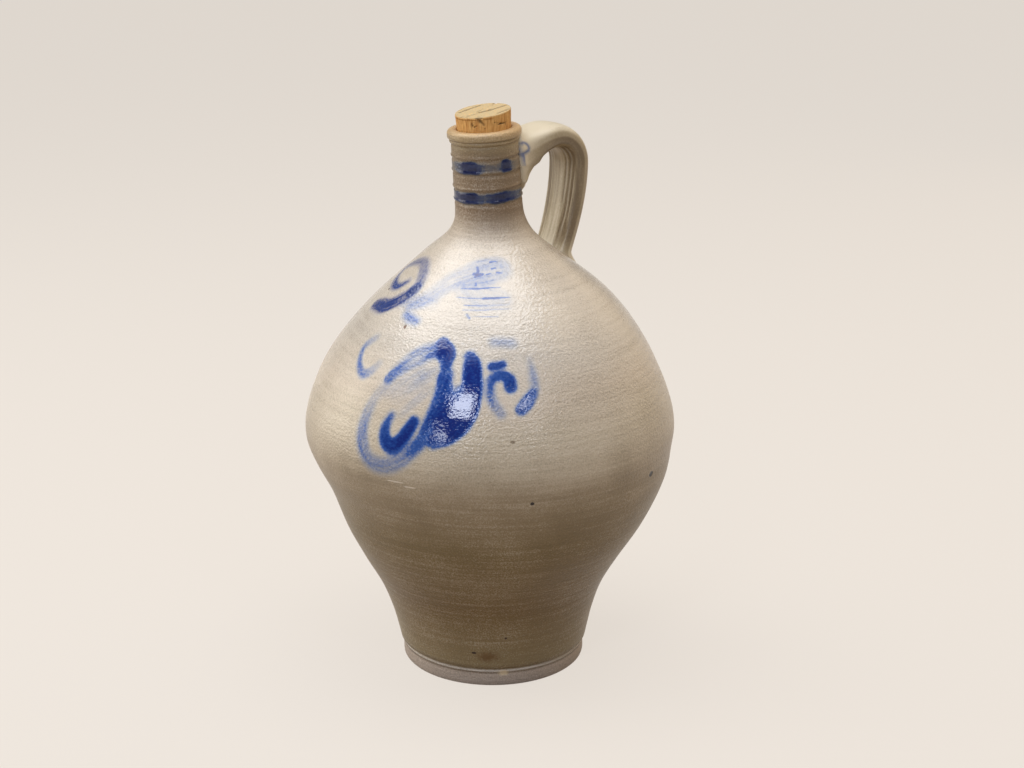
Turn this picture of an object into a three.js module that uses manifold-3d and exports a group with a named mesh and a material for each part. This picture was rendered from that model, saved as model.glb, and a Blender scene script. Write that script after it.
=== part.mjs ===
// Salt-glazed stoneware jug with a pulled strap handle and a natural cork.
// Millimetres, +Z up. The origin is on the ground under the middle of the belly.
// The handle points along +X, and the neck leans a little away from it.
import * as THREE from "three";
import Module from "manifold-3d";
import { mergeVertices } from "three/addons/utils/BufferGeometryUtils.js";

// Natural cork
const corkTopRadius = 18.3;
const corkBottomRadius = 15.1;
const corkLength = 46;
const corkStandOut = 11;
const corkTopSlant = 4.5;
const corkChamfer = 1.1;

// Foot
const footRadius = 63.2;
const footBandHeight = 12.8;
const footEdgeRounding = 2.2;
const restingRingWidth = 13;
const baseRecessDepth = 1.6;
const baseRecessSlope = 2;
const scoreLineDepth = 0.9;
const scoreLineWidth = 2.4;

// Thrown body: the wall swells from just above the foot band to the belly, then falls to the neck.
const wallRootStep = 1.8;
const bellyRadius = 125.3;
const bellyHeight = 172;
const neckBaseHeight = 309;
const wallThickness = 7;
const floorThickness = 9;
const floorCorner = 14;
const wallRootRadius = footRadius + wallRootStep;

// The swell and the fall, as shares of the height and of the change in radius
const lowerSwell = [[0.14, 0.088], [0.28, 0.22], [0.42, 0.422], [0.56, 0.628], [0.72, 0.804], [0.86, 0.94]];
const upperFall = [[0.19, 0.067], [0.4, 0.212], [0.62, 0.45], [0.83, 0.782], [0.925, 0.938]];

// Throwing ridges left on the inside of the wall
const ridgePitch = 25;
const ridgeDepth = 0.8;

// Neck: a plain tube on a short root, with turned lines at shares of its height below the rim
const neckHeight = 61;
const neckWall = 4.1;
const neckRootSwell = 1.4;
const neckRootHeight = 10;
const neckLineDepth = 0.7;
const neckLineWidth = 1.6;
const neckLines = [0.298, 0.452, 0.63, 0.77];
const neckRadius = corkTopRadius + neckWall;
const neckRootRadius = neckRadius + neckRootSwell;
const rimHeight = neckBaseHeight + neckHeight;
const throatRise = 8;

// Collar round the mouth
const collarOverhang = 2.1;
const collarHeight = 8.4;
const collarRounding = 2.6;
const collarUnderRounding = 1.2;
const mouthRounding = 1.6;
const collarRadius = neckRadius + collarOverhang;

// Hand-thrown drift of the wall's middle, as shares: [of the neck base's height, of the reach]
const driftReach = 4;
const driftBearing = -40;
const drift = [
  [0, 0.4], [0.227, 0.15], [0.414, 1], [0.531, -0.05], [0.663, -0.05], [0.848, 0.675], [0.958, 0.075],
];
const neckLean = 4.2;
const leanDrop = 5;
const leanBlend = 26;
const leanHeight = neckBaseHeight - leanDrop;

// Pulled strap
const strapWidth = 30;
const strapSpread = 3;
const strapThickness = 13.4;
const strapSquareness = 0.62;
const strapRootGain = 9;
const strapRootFade = 28;
const webDepth = 15;
const webFade = 11;
const strapGrooveDepth = 0.9;
const strapGrooveWidth = 5;
const strapGrooves = [-0.24, 0.24];
const tailThickness = 4.5;
const tailWidth = 19;

// Route of the strap: stub in the neck, root, crown, bow, ankle on the shoulder and tail
const rootStub = 9;
const handleRootDrop = 17.4;
const handleRootSink = 5;
const handleRootLead = 10;
const handleRootRise = 1.6;
const handleCrownDrop = 10.2;
const handleCrownLead = 9;
const handleReach = 69.4;
const handleBend = 20.5;
const handleFootDrop = 30;
const handleTailDrop = 48;
const ankleStand = 4.6;
const tailSink = 1.2;

// Leads of the strap's lower curves, as [out, down] shares of the drop from bow to ankle
const bowLead = [0, 0.38];
const ankleLead = [0.1, 0.24];
const tailLead = [0.04, 0.12];

// Running and seating gaps
const seatGap = 0.3;
const corkGap = 0.3;

// Fineness of the faces
const segments = 48;
const arcSegments = 3;
const wallStep = 10;
const wallFineness = 400;
const strapStep = 4.2;
const strapPoints = 26;

const degree = Math.PI / 180;
const wasm = await Module();
wasm.setup();

// The turns of a quarter circle in even steps, in radians from 0 to a right angle.
const quarterTurns = Array.from({ length: arcSegments + 1 }, (_, i) => (i * Math.PI) / (2 * arcSegments));

// A smooth step from 0 to 1.
function easeStep(share) {
  const t = THREE.MathUtils.clamp(share, 0, 1);
  return t * t * (3 - 2 * t);
}

// Points of a wall from one radius and height to another, with the swell between them.
function swellPoints(lowRadius, lowHeight, highRadius, highHeight, swell) {
  return [[0, 0], ...swell, [1, 1]].map(([climb, growth]) => new THREE.Vector2(
    lowRadius + growth * (highRadius - lowRadius),
    lowHeight + climb * (highHeight - lowHeight),
  ));
}

// Guide points of the outside of the wall, from the foot band to the foot of the neck.
function wallPoints() {
  const wallRootHeight = footBandHeight + scoreLineWidth / 2;
  const lower = swellPoints(wallRootRadius, wallRootHeight, bellyRadius, bellyHeight, lowerSwell);
  const upper = swellPoints(bellyRadius, bellyHeight, neckRootRadius, neckBaseHeight, upperFall);
  const neckFoot = new THREE.Vector2(neckRadius, neckBaseHeight + neckRootHeight);
  return [...lower, ...upper.slice(1), neckFoot];
}

const wallCurve = new THREE.SplineCurve(wallPoints());
const wallSamples = wallCurve.getSpacedPoints(wallFineness);

// The outer wall's radius and outward normal at a height.
function wallAt(height) {
  let index = wallSamples.findIndex((point) => point.y >= height);
  index = THREE.MathUtils.clamp(index, 1, wallSamples.length - 1);
  const before = wallSamples[index - 1];
  const after = wallSamples[index];
  const share = (height - before.y) / (after.y - before.y);
  const tangent = after.clone().sub(before).normalize();
  return {
    point: new THREE.Vector2(THREE.MathUtils.lerp(before.x, after.x, share), height),
    normal: new THREE.Vector2(tangent.y, -tangent.x),
  };
}

// Foot: a recessed base, a flat resting ring, a rounded edge and the scored line above the band.
function footPoints() {
  const ring = footRadius - restingRingWidth;
  const points = [[0, baseRecessDepth], [ring - baseRecessSlope, baseRecessDepth], [ring, 0]];
  for (const turn of quarterTurns) {
    points.push([
      footRadius - footEdgeRounding * (1 - Math.sin(turn)),
      footEdgeRounding * (1 - Math.cos(turn)),
    ]);
  }
  points.push([footRadius, footBandHeight - scoreLineWidth]);
  points.push([footRadius - scoreLineDepth, footBandHeight - scoreLineWidth / 3]);
  return points.map(([radius, height]) => new THREE.Vector2(radius, height));
}

// Body: the spline of the wall in even steps, up to the foot of the neck.
function bodyPoints() {
  const count = Math.round(wallCurve.getLength() / wallStep);
  return wallCurve.getSpacedPoints(count);
}

// Neck: a plain tube with turned lines, as shallow grooves.
function neckPoints() {
  const lowest = neckBaseHeight + neckRootHeight + neckLineWidth;
  const highest = rimHeight - collarHeight - 2 * neckLineWidth;
  const middles = neckLines.map((drop) => rimHeight - drop * neckHeight).reverse();
  return middles.filter((middle) => middle > lowest && middle < highest).flatMap((middle) => [
    new THREE.Vector2(neckRadius, middle - neckLineWidth / 2),
    new THREE.Vector2(neckRadius - neckLineDepth, middle),
    new THREE.Vector2(neckRadius, middle + neckLineWidth / 2),
  ]);
}

// Collar: a turned line under it, rounded outside, and a small round into the bore.
function collarPoints(boreRadius) {
  const bottom = rimHeight - collarHeight;
  const points = [
    [neckRadius, bottom - neckLineWidth],
    [neckRadius - neckLineDepth, bottom - neckLineWidth / 2],
    [neckRadius, bottom],
    [collarRadius - collarUnderRounding, bottom + collarUnderRounding / 3],
    [collarRadius, bottom + collarUnderRounding],
  ];
  for (const turn of quarterTurns) {
    points.push([
      collarRadius - collarRounding * (1 - Math.cos(turn)),
      rimHeight - collarRounding * (1 - Math.sin(turn)),
    ]);
  }
  for (const turn of [...quarterTurns].reverse()) {
    points.push([
      boreRadius + mouthRounding * (1 - Math.cos(turn)),
      rimHeight - mouthRounding * (1 - Math.sin(turn)),
    ]);
  }
  return points.map(([radius, height]) => new THREE.Vector2(radius, height));
}

// The cork's radius at a height above its bottom end.
function corkRadiusAt(height) {
  return THREE.MathUtils.lerp(corkBottomRadius, corkTopRadius, height / corkLength);
}

const corkBottomHeight = rimHeight + corkStandOut - corkLength;

// Bore and inside: the cork's seat, the throat, the wall's inside with its ridges, and the floor.
function insidePoints() {
  const seatMiddle = (rimHeight + corkBottomHeight) / 2;
  const throatRadius = corkBottomRadius + corkGap;
  const throatHeight = Math.min(neckBaseHeight, corkBottomHeight) + throatRise;
  const points = [
    new THREE.Vector2(corkRadiusAt(seatMiddle - corkBottomHeight) + corkGap, seatMiddle),
    new THREE.Vector2(throatRadius, corkBottomHeight),
  ];
  if (throatHeight < corkBottomHeight) {
    points.push(new THREE.Vector2(throatRadius, throatHeight));
  }
  const step = ridgePitch / 3;
  const count = Math.floor((neckBaseHeight - floorThickness - floorCorner) / step);
  for (let i = 1; i < count; i += 1) {
    const wall = wallAt(neckBaseHeight - i * step);
    const ridge = i % 3 === 1 ? ridgeDepth : 0;
    const inner = wall.point.addScaledVector(wall.normal, -wallThickness - ridge);
    if (inner.x > throatRadius && inner.y < points[points.length - 1].y) {
      points.push(inner);
    }
  }
  for (const turn of quarterTurns) {
    points.push(new THREE.Vector2(
      footRadius - wallThickness - floorCorner * (1 - Math.cos(turn)),
      floorThickness + floorCorner * (1 - Math.sin(turn)),
    ));
  }
  points.push(new THREE.Vector2(0, floorThickness));
  return points;
}

// The sideways shift of the wall's middle at a height.
function driftAt(height) {
  const level = height / neckBaseHeight;
  let index = drift.findIndex(([share]) => share >= level);
  if (index < 0) {
    return drift[drift.length - 1][1] * driftReach;
  }
  index = Math.max(index, 1);
  const [lowLevel, lowShift] = drift[index - 1];
  const [highLevel, highShift] = drift[index];
  const share = easeStep((level - lowLevel) / (highLevel - lowLevel));
  return THREE.MathUtils.lerp(lowShift, highShift, share) * driftReach;
}

// Moves a turned shape to where the hand-thrown one is: off centre, with a leaning neck.
function settle(geometry) {
  const place = geometry.attributes.position;
  for (let i = 0; i < place.count; i += 1) {
    const x = place.getX(i);
    const z = place.getZ(i);
    const shift = driftAt(z);
    const lean = neckLean * degree * easeStep((z - leanHeight) / leanBlend + 0.5);
    const rise = z - leanHeight;
    place.setX(i, x * Math.cos(lean) - rise * Math.sin(lean) + shift * Math.cos(driftBearing * degree));
    place.setY(i, place.getY(i) + shift * Math.sin(driftBearing * degree));
    place.setZ(i, leanHeight + x * Math.sin(lean) + rise * Math.cos(lean));
  }
  return geometry;
}

// A turned solid about Z, from a profile of radius and height that starts and ends on the axis.
function turned(profile) {
  const geometry = new THREE.LatheGeometry(profile, segments);
  return geometry.rotateX(Math.PI / 2);
}

// A closed geometry as a solid for cutting.
function toSolid(geometry) {
  const plain = geometry.clone();
  plain.deleteAttribute("normal");
  plain.deleteAttribute("uv");
  const merged = mergeVertices(plain, 1e-4);
  return new wasm.Manifold(new wasm.Mesh({
    numProp: 3,
    vertProperties: new Float32Array(merged.attributes.position.array),
    triVerts: new Uint32Array(merged.index.array),
  }));
}

// A cut solid as a geometry again.
function toGeometry(solid) {
  const mesh = solid.getMesh();
  const geometry = new THREE.BufferGeometry();
  geometry.setAttribute("position", new THREE.BufferAttribute(new Float32Array(mesh.vertProperties), 3));
  geometry.setIndex(new THREE.BufferAttribute(new Uint32Array(mesh.triVerts), 1));
  geometry.computeVertexNormals();
  return geometry;
}

// The outside of the vessel, grown by the seating gap, which the handle is pressed against.
function seatSolid() {
  const outline = [...footPoints(), ...bodyPoints(), ...neckPoints(), ...collarPoints(corkTopRadius)];
  const grown = outline.map((point, i) => {
    const before = outline[Math.max(i - 1, 0)];
    const after = outline[Math.min(i + 1, outline.length - 1)];
    const along = after.clone().sub(before).normalize();
    return new THREE.Vector2(Math.max(point.x + along.y * seatGap, 0), point.y - along.x * seatGap);
  });
  grown[0].x = 0;
  const top = new THREE.Vector2(0, grown[grown.length - 1].y);
  return toSolid(settle(turned([...grown, top])));
}

// The handle's middle line in its own plane: neck, crown, bow, shoulder and smeared tail.
function handleCurve() {
  const crown = new THREE.Vector2(handleReach - handleBend, rimHeight - handleCrownDrop);
  const bow = new THREE.Vector2(handleReach, crown.y - handleBend);
  const root = new THREE.Vector2(neckRadius - handleRootSink, rimHeight - handleRootDrop);
  const foot = wallAt(neckBaseHeight - handleFootDrop);
  const tail = wallAt(neckBaseHeight - handleTailDrop);
  const ankle = foot.point.clone().addScaledVector(foot.normal, ankleStand);
  const drop = bow.y - ankle.y;
  const lead = new THREE.Vector2(handleRootLead, handleRootRise);
  const stub = root.clone().addScaledVector(lead.clone().normalize(), -rootStub);
  const curve = new THREE.CurvePath();
  curve.add(new THREE.LineCurve(stub, root));
  curve.add(new THREE.CubicBezierCurve(
    root,
    root.clone().add(lead),
    new THREE.Vector2(crown.x - handleCrownLead, crown.y),
    crown,
  ));
  curve.add(new THREE.EllipseCurve(crown.x, bow.y, handleBend, handleBend, Math.PI / 2, 0, true));
  curve.add(new THREE.CubicBezierCurve(
    bow,
    new THREE.Vector2(bow.x + drop * bowLead[0], bow.y - drop * bowLead[1]),
    new THREE.Vector2(ankle.x + drop * ankleLead[0], ankle.y + drop * ankleLead[1]),
    ankle,
  ));
  curve.add(new THREE.QuadraticBezierCurve(
    ankle,
    new THREE.Vector2(ankle.x - drop * tailLead[0], ankle.y - drop * tailLead[1]),
    tail.point.clone().addScaledVector(tail.normal, -tailSink),
  ));
  return curve;
}

// The strap's section, as [across, out] shares of half its width and thickness, and how deep in a
// groove each point lies.
function strapOutline() {
  const outline = [];
  for (let i = 0; i < strapPoints; i += 1) {
    const turn = (i / strapPoints) * 2 * Math.PI;
    const across = Math.sign(Math.cos(turn)) * Math.abs(Math.cos(turn)) ** strapSquareness;
    const out = Math.sign(Math.sin(turn)) * Math.abs(Math.sin(turn)) ** strapSquareness;
    const groove = strapGrooves.reduce((sum, place) => (
      sum + Math.exp(-((2 * (across / 2 - place) * strapWidth / strapGrooveWidth) ** 2))
    ), 0);
    outline.push([across, out, groove]);
  }
  return outline;
}

// The strap, swept along its middle line with its swelling root, web and thin tail.
function strapGeometry() {
  const curve = handleCurve();
  const length = curve.getLength();
  const stations = Math.round(length / strapStep);
  const line = curve.getSpacedPoints(stations);
  const tailStart = 1 - curve.curves.at(-1).getLength() / length;
  const outline = strapOutline();
  const vertices = [];
  line.forEach((middle, i) => {
    const before = line[Math.max(i - 1, 0)];
    const after = line[Math.min(i + 1, stations)];
    const along = after.clone().sub(before).normalize();
    const away = new THREE.Vector2(-along.y, along.x);
    const run = Math.max((i / stations) * length - rootStub, 0);
    const thin = easeStep((i / stations - tailStart) / (1 - tailStart));
    const swelling = strapRootGain * Math.exp(-run / strapRootFade);
    const thickness = THREE.MathUtils.lerp(strapThickness + swelling, tailThickness, thin);
    const spread = strapWidth + strapSpread * Math.sin(Math.PI * Math.min(i / stations / tailStart, 1));
    const width = THREE.MathUtils.lerp(spread, tailWidth, thin ** 2);
    const web = webDepth * Math.exp(-run / webFade);
    for (const [across, out, groove] of outline) {
      const half = out < 0 ? thickness / 2 + web : thickness / 2;
      const depth = Math.min(strapGrooveDepth * (1 - thin), half) * groove;
      const offset = out * half - Math.sign(out) * depth;
      const point = middle.clone().addScaledVector(away, offset);
      vertices.push(point.x, (across * width) / 2, point.y);
    }
  });
  return sweptGeometry(vertices, stations + 1, strapPoints);
}

// Joins rings of points into a closed tube with flat ends.
function sweptGeometry(vertices, rings, count) {
  const faces = [];
  for (let ring = 0; ring + 1 < rings; ring += 1) {
    for (let i = 0; i < count; i += 1) {
      const a = ring * count + i;
      const b = ring * count + ((i + 1) % count);
      faces.push(a, b, a + count, b, b + count, a + count);
    }
  }
  for (const [ring, flip] of [[0, false], [rings - 1, true]]) {
    const start = ring * count;
    for (let i = 1; i + 1 < count; i += 1) {
      faces.push(start, start + (flip ? i : i + 1), start + (flip ? i + 1 : i));
    }
  }
  const geometry = new THREE.BufferGeometry();
  geometry.setAttribute("position", new THREE.Float32BufferAttribute(vertices, 3));
  geometry.setIndex(faces);
  return geometry;
}

// Thrown vessel: foot, body, neck and collar outside, bore and ridged wall inside.
function vesselGeometry() {
  const boreRadius = corkRadiusAt(rimHeight - corkBottomHeight) + corkGap;
  return settle(turned([
    ...footPoints(),
    ...bodyPoints(),
    ...neckPoints(),
    ...collarPoints(boreRadius),
    ...insidePoints(),
  ]));
}

// Handle: the pulled strap, with its two ends pressed to the neck and the shoulder.
function handleGeometry() {
  const cut = toSolid(strapGeometry()).subtract(seatSolid());
  const pieces = cut.decompose().sort((a, b) => b.volume() - a.volume());
  return toGeometry(pieces[0]);
}

// Cork: a tapered plug with chamfered ends and a top cut a little askew. Its bottom end is at the
// local origin.
function corkGeometry() {
  const geometry = turned([
    new THREE.Vector2(0, 0),
    new THREE.Vector2(corkBottomRadius - corkChamfer, 0),
    new THREE.Vector2(corkRadiusAt(corkChamfer), corkChamfer),
    new THREE.Vector2(corkRadiusAt(corkLength / 2), corkLength / 2),
    new THREE.Vector2(corkRadiusAt(corkLength - corkChamfer), corkLength - corkChamfer),
    new THREE.Vector2(corkTopRadius - corkChamfer, corkLength),
    new THREE.Vector2(0, corkLength),
  ]);
  const place = geometry.attributes.position;
  for (let i = 0; i < place.count; i += 1) {
    if (place.getZ(i) > corkLength - 2 * corkChamfer) {
      place.setZ(i, place.getZ(i) + place.getX(i) * Math.tan(corkTopSlant * degree));
    }
  }
  return geometry;
}

function namedMesh(name, geometry, color, roughness) {
  const mesh = new THREE.Mesh(geometry, new THREE.MeshStandardMaterial({ color, roughness, metalness: 0 }));
  mesh.name = name;
  return mesh;
}

const jug = new THREE.Group();
jug.add(namedMesh("vessel", vesselGeometry(), 0xb3aa9d, 0.32));
jug.add(namedMesh("handle", handleGeometry(), 0xb8ad99, 0.34));

// The neck's own axis, leaning away from the handle, carries the cork.
const neckAxis = new THREE.Group();
neckAxis.position.set(
  driftAt(leanHeight) * Math.cos(driftBearing * degree),
  driftAt(leanHeight) * Math.sin(driftBearing * degree),
  leanHeight,
);
neckAxis.rotation.y = -neckLean * degree;
const stopper = namedMesh("stopper", corkGeometry(), 0xcda15b, 0.85);
stopper.position.z = corkBottomHeight - leanHeight;
neckAxis.add(stopper);
jug.add(neckAxis);

export default jug;
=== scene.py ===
"""Salt-glazed stoneware bottle with a pulled strap handle and a natural cork.

Sizes in the classes are millimetres and angles are degrees. Meshes are in metres, +Z up, and the
handle points along +X. Bearings are measured to the right of the painted front. The numbers for a
Map Range node are the two ends of what goes in, and then the two ends of what comes out.
"""
import logging
import math
from collections.abc import Callable
from dataclasses import dataclass
from enum import Enum
from functools import partial

import bpy
import numpy as np
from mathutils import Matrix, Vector

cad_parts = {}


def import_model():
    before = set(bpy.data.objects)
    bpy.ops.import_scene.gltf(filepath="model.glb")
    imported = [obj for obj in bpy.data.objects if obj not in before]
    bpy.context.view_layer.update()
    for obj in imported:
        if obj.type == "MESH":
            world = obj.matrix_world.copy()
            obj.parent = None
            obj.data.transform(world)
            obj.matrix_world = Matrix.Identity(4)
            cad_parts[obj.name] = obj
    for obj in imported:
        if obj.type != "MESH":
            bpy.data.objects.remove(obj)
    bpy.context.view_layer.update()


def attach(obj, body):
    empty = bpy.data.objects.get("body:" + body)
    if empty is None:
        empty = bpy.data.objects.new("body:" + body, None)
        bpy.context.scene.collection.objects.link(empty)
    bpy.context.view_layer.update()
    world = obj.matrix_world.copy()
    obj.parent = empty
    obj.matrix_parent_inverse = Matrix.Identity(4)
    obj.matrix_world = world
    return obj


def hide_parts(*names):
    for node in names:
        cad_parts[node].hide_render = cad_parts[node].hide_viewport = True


LOG = logging.getLogger("stoneware_bottle")
MM = 0.001
FRONT_BEARING = -130.0

Node = bpy.types.Node
Object = bpy.types.Object
Material = bpy.types.Material
Put = Callable[..., Node]
Numbers = tuple[float, ...]
Curve = tuple[tuple[float, float], ...]
Stops = tuple[tuple[float, str], ...]
Marks = tuple[tuple[float, ...], ...]


class Carrier(Enum):
    """The bodies that the pieces ride on."""

    JUG = "jug"
    CORK = "cork"


class Slot(Enum):
    """Names for the material slots."""

    STONEWARE = "salt_glazed_stoneware"
    STRAP = "salt_glazed_handle"
    BARK = "natural_cork"


def add(tree: bpy.types.NodeTree, kind: str, *values: object, **named: object) -> Node:
    """Adds a node with its settings, values and links.

    Args:
        tree: The tree that gets the node.
        kind: The type, where ShaderNode is left out, and after a space its operation or kind of data.
        values: Nodes, sockets or plain values for the inputs in use, from the top down.
        named: The node's own properties, and inputs by name, which start with a capital.

    Returns:
        The new node.
    """
    kind, _, work = kind.partition(" ")
    whole = kind.startswith(("Geometry", "NodeGroup"))
    node = tree.nodes.new(kind if whole else f"ShaderNode{kind}")
    if work:
        setattr(node, "operation" if hasattr(node, "operation") else "data_type", work)
    inputs = []
    for name, value in named.items():
        if name.islower():
            setattr(node, name, value)
        else:
            inputs.append((node.inputs[name.replace("_", " ")], value))
    for socket, value in [*zip((s for s in node.inputs if s.enabled), values), *inputs]:
        if isinstance(value, Node):
            value = next(output for output in value.outputs if output.enabled)
        if isinstance(value, bpy.types.NodeSocket):
            tree.links.new(value, socket)
        else:
            socket.default_value = value
    return node


def new_material(name: str) -> tuple[Material, Put]:
    """Starts a material.

    Args:
        name: The real stuff that it shows.

    Returns:
        The material and the function that adds its nodes.
    """
    material = bpy.data.materials.new(name)
    material.use_nodes = True
    material.node_tree.nodes.clear()
    return material, partial(add, material.node_tree)


def paint(code: str) -> tuple[float, ...]:
    """Turns an sRGB hex colour into linear red, green, blue and alpha.

    Args:
        code: A colour such as "#b3a99c".

    Returns:
        The linear colour.
    """
    shares = [int(code[i : i + 2], 16) / 255 for i in (1, 3, 5)]
    linear = [s / 12.92 if s <= 0.04045 else ((s + 0.055) / 1.055) ** 2.4 for s in shares]
    return (*linear, 1.0)


def per_metre(size: float) -> float:
    """Gives the texture scale of a pattern with this size in millimetres."""
    return 1 / (size * MM)


def fill_ramp(node: Node, stops: Stops) -> Node:
    """Gives a colour ramp its stops.

    Args:
        node: The colour ramp.
        stops: Places from 0 to 1 with their hex colours.

    Returns:
        The same node.
    """
    elements = node.color_ramp.elements
    while len(elements) < len(stops):
        elements.new(1.0)
    for element, (place, code) in zip(elements, stops):
        element.position = place
        element.color = paint(code)
    return node


def fill_curve(node: Node, points: Curve) -> Node:
    """Puts a curve's points in place.

    Args:
        node: The curve's node.
        points: The points, in rising order.

    Returns:
        The same node.
    """
    curve = node.mapping.curves[0]
    for spot, place in zip(curve.points, points[:2]):
        spot.location = place
    for place in points[2:]:
        curve.points.new(*place)
    node.mapping.update()
    return node


def ease(share: np.ndarray | float) -> np.ndarray:
    """Gives a smooth step from 0 to 1."""
    t = np.clip(share, 0.0, 1.0)
    return t * t * (3 - 2 * t)


def headings(line: np.ndarray) -> np.ndarray:
    """Gives the direction of a line at each of its points."""
    along = np.gradient(line, axis=0)
    return along / np.linalg.norm(along, axis=1)[:, None]


def travelled(line: np.ndarray) -> np.ndarray:
    """Gives how far along a line each of its points is."""
    return np.r_[0, np.cumsum(np.linalg.norm(np.diff(line, axis=0), axis=1))]


def walk(line: np.ndarray, run: np.ndarray, count: int) -> np.ndarray:
    """Walks a line in even steps.

    Args:
        line: One row for each point, of any width.
        run: How far along each point is.
        count: How many points to return.

    Returns:
        The points, with both ends.
    """
    stops = np.linspace(0, run[-1], count)
    return np.stack([np.interp(stops, run, column) for column in line.T], axis=1)


def smooth_line(points: np.ndarray, step: float) -> np.ndarray:
    """Runs a smooth line through points and walks it in even steps.

    Args:
        points: One row for each guide point, of any width.
        step: The distance between the points of the result, along the first three columns.

    Returns:
        The points of the line.
    """
    points = np.asarray(points, float)
    last, between = len(points) - 1, 40
    dense = []
    for place in np.linspace(0, last, last * between + 1):
        i = min(int(place), last - 1)
        t = place - i
        before, start = points[max(i - 1, 0)], points[i]
        end, after = points[i + 1], points[min(i + 2, last)]
        lead, trail = (end - before) / 2, (after - start) / 2
        cubic = 2 * start - 2 * end + lead + trail
        square = 3 * end - 3 * start - 2 * lead - trail
        dense.append(cubic * t**3 + square * t**2 + lead * t + start)
    dense = np.array(dense)
    run = travelled(dense[:, :3])
    return walk(dense, run, max(int(round(run[-1] / step)), 2) + 1)


def bezier(points: list[np.ndarray], count: int) -> np.ndarray:
    """Walks a curve with control points.

    Args:
        points: The control points.
        count: How many points to return.

    Returns:
        Points from just after the first control point to the last one.
    """
    t = np.linspace(0, 1, count + 1)[1:, None]
    level = [point[None, :] for point in points]
    while len(level) > 1:
        level = [a * (1 - t) + b * t for a, b in zip(level, level[1:])]
    return level[0]


def rounding(radius: float, height: float, wide: float, tall: float, count: int) -> list[Numbers]:
    """Rounds a corner of a turned form.

    Args:
        radius: The corner's distance from the axis.
        height: The corner's height.
        wide: How far towards the axis the rounding reaches.
        tall: How far down it reaches.
        count: How many rows to return.

    Returns:
        Radius and height of each row, from below the corner to beside it.
    """
    turns = np.linspace(0, math.pi / 2, count)
    return [(radius - wide * (1 - math.cos(t)), height - tall * (1 - math.sin(t))) for t in turns]


def new_object(name: str, data: bpy.types.ID) -> Object:
    """Makes an object and puts it into the scene.

    Args:
        name: The object's name.
        data: Its mesh, lamp or camera.

    Returns:
        The object.
    """
    thing = bpy.data.objects.new(name, data)
    bpy.context.scene.collection.objects.link(thing)
    return thing


def new_guide(name: str, line: np.ndarray, **values: np.ndarray | float) -> Object:
    """Makes an object of points in a row, which a tree then turns into a piece.

    Args:
        name: The piece's name.
        line: How far along X and how high each point is, in millimetres.
        values: What the points carry, by the names that the tree reads.

    Returns:
        The object, in the scene.
    """
    mesh = bpy.data.meshes.new(name)
    points = [(float(x) * MM, 0.0, float(z) * MM) for x, z in line]
    mesh.from_pydata(points, [(i, i + 1) for i in range(len(points) - 1)], [])
    for label, value in values.items():
        store(mesh, label, value)
    return new_object(name, mesh)


def store(mesh: bpy.types.Mesh, name: str, values: np.ndarray | float) -> None:
    """Keeps a value for each point of a mesh.

    Args:
        mesh: The mesh.
        name: The attribute's name.
        values: One value for all points, or for each point one value or one row of three.
    """
    values = np.asarray(values, np.float32)
    if values.ndim == 0:
        values = np.full(len(mesh.vertices), values)
    kind, field = ("FLOAT", "value") if values.ndim == 1 else ("FLOAT_VECTOR", "vector")
    mesh.attributes.new(name, kind, "POINT").data.foreach_set(field, values.ravel())


def points_of(piece: Object) -> np.ndarray:
    """Finds where a piece's points are.

    Args:
        piece: The piece.

    Returns:
        Places in millimetres, one row each.
    """
    places = np.zeros(len(piece.data.vertices) * 3, np.float32)
    piece.data.vertices.foreach_get("co", places)
    return places.reshape(-1, 3).astype(float) / MM


def new_tree(name: str, inputs: dict[str, float | str]) -> tuple[bpy.types.NodeTree, Put, object]:
    """Starts a tree of geometry nodes, which has a guide, named inputs and a finish.

    Args:
        name: The tree's name.
        inputs: Names of inputs, each with its first value, or with its kind.

    Returns:
        The tree, the function that adds its nodes and the sockets with what comes in.
    """
    tree = bpy.data.node_groups.new(name, "GeometryNodeTree")
    for label, value in {"Guide": "Geometry", **inputs, "Finish": "Material"}.items():
        kind = {int: "Int", float: "Float"}.get(type(value), value)
        item = tree.interface.new_socket(name=label, in_out="INPUT", socket_type=f"NodeSocket{kind}")
        if kind != value:
            item.default_value = value
    tree.interface.new_socket(name="Piece", in_out="OUTPUT", socket_type="NodeSocketGeometry")
    put = partial(add, tree)
    return tree, put, put("NodeGroupInput").outputs


def lay_grid(put: Put, guide: object, across: object, names: list[str]) -> tuple[Node, Node, dict]:
    """Lays a grid over a guide and reads the guide at each of the grid's rows.

    Args:
        put: Adds a node.
        guide: The guide, with one point for each row.
        across: How many columns the grid has.
        names: The guide's attributes. The one called away is a direction.

    Returns:
        The grid, how far across each of its points is, and the values read, with the place.
    """
    rows = put("GeometryNodeAttributeDomainSize", guide, component="MESH")
    grid = put("GeometryNodeMeshGrid", 1.0, 1.0, across, rows)
    spot = put("SeparateXYZ", put("GeometryNodeInputPosition"))
    share = put("Math ADD", spot.outputs["X"], 0.5)
    up = put("Math ADD", spot.outputs["Y"], 0.5)
    row = put("Math ROUND", put("Math MULTIPLY", up, put("Math SUBTRACT", rows, 1.0)))
    sources = {"place": ("FLOAT_VECTOR", put("GeometryNodeInputPosition"))}
    for name in names:
        kind = "FLOAT_VECTOR" if name == "away" else "FLOAT"
        sources[name] = (kind, put(f"GeometryNodeInputNamedAttribute {kind}", name))
    read = {
        name: put(f"GeometryNodeSampleIndex {kind}", guide, value, row)
        for name, (kind, value) in sources.items()
    }
    return grid, share, read


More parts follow.
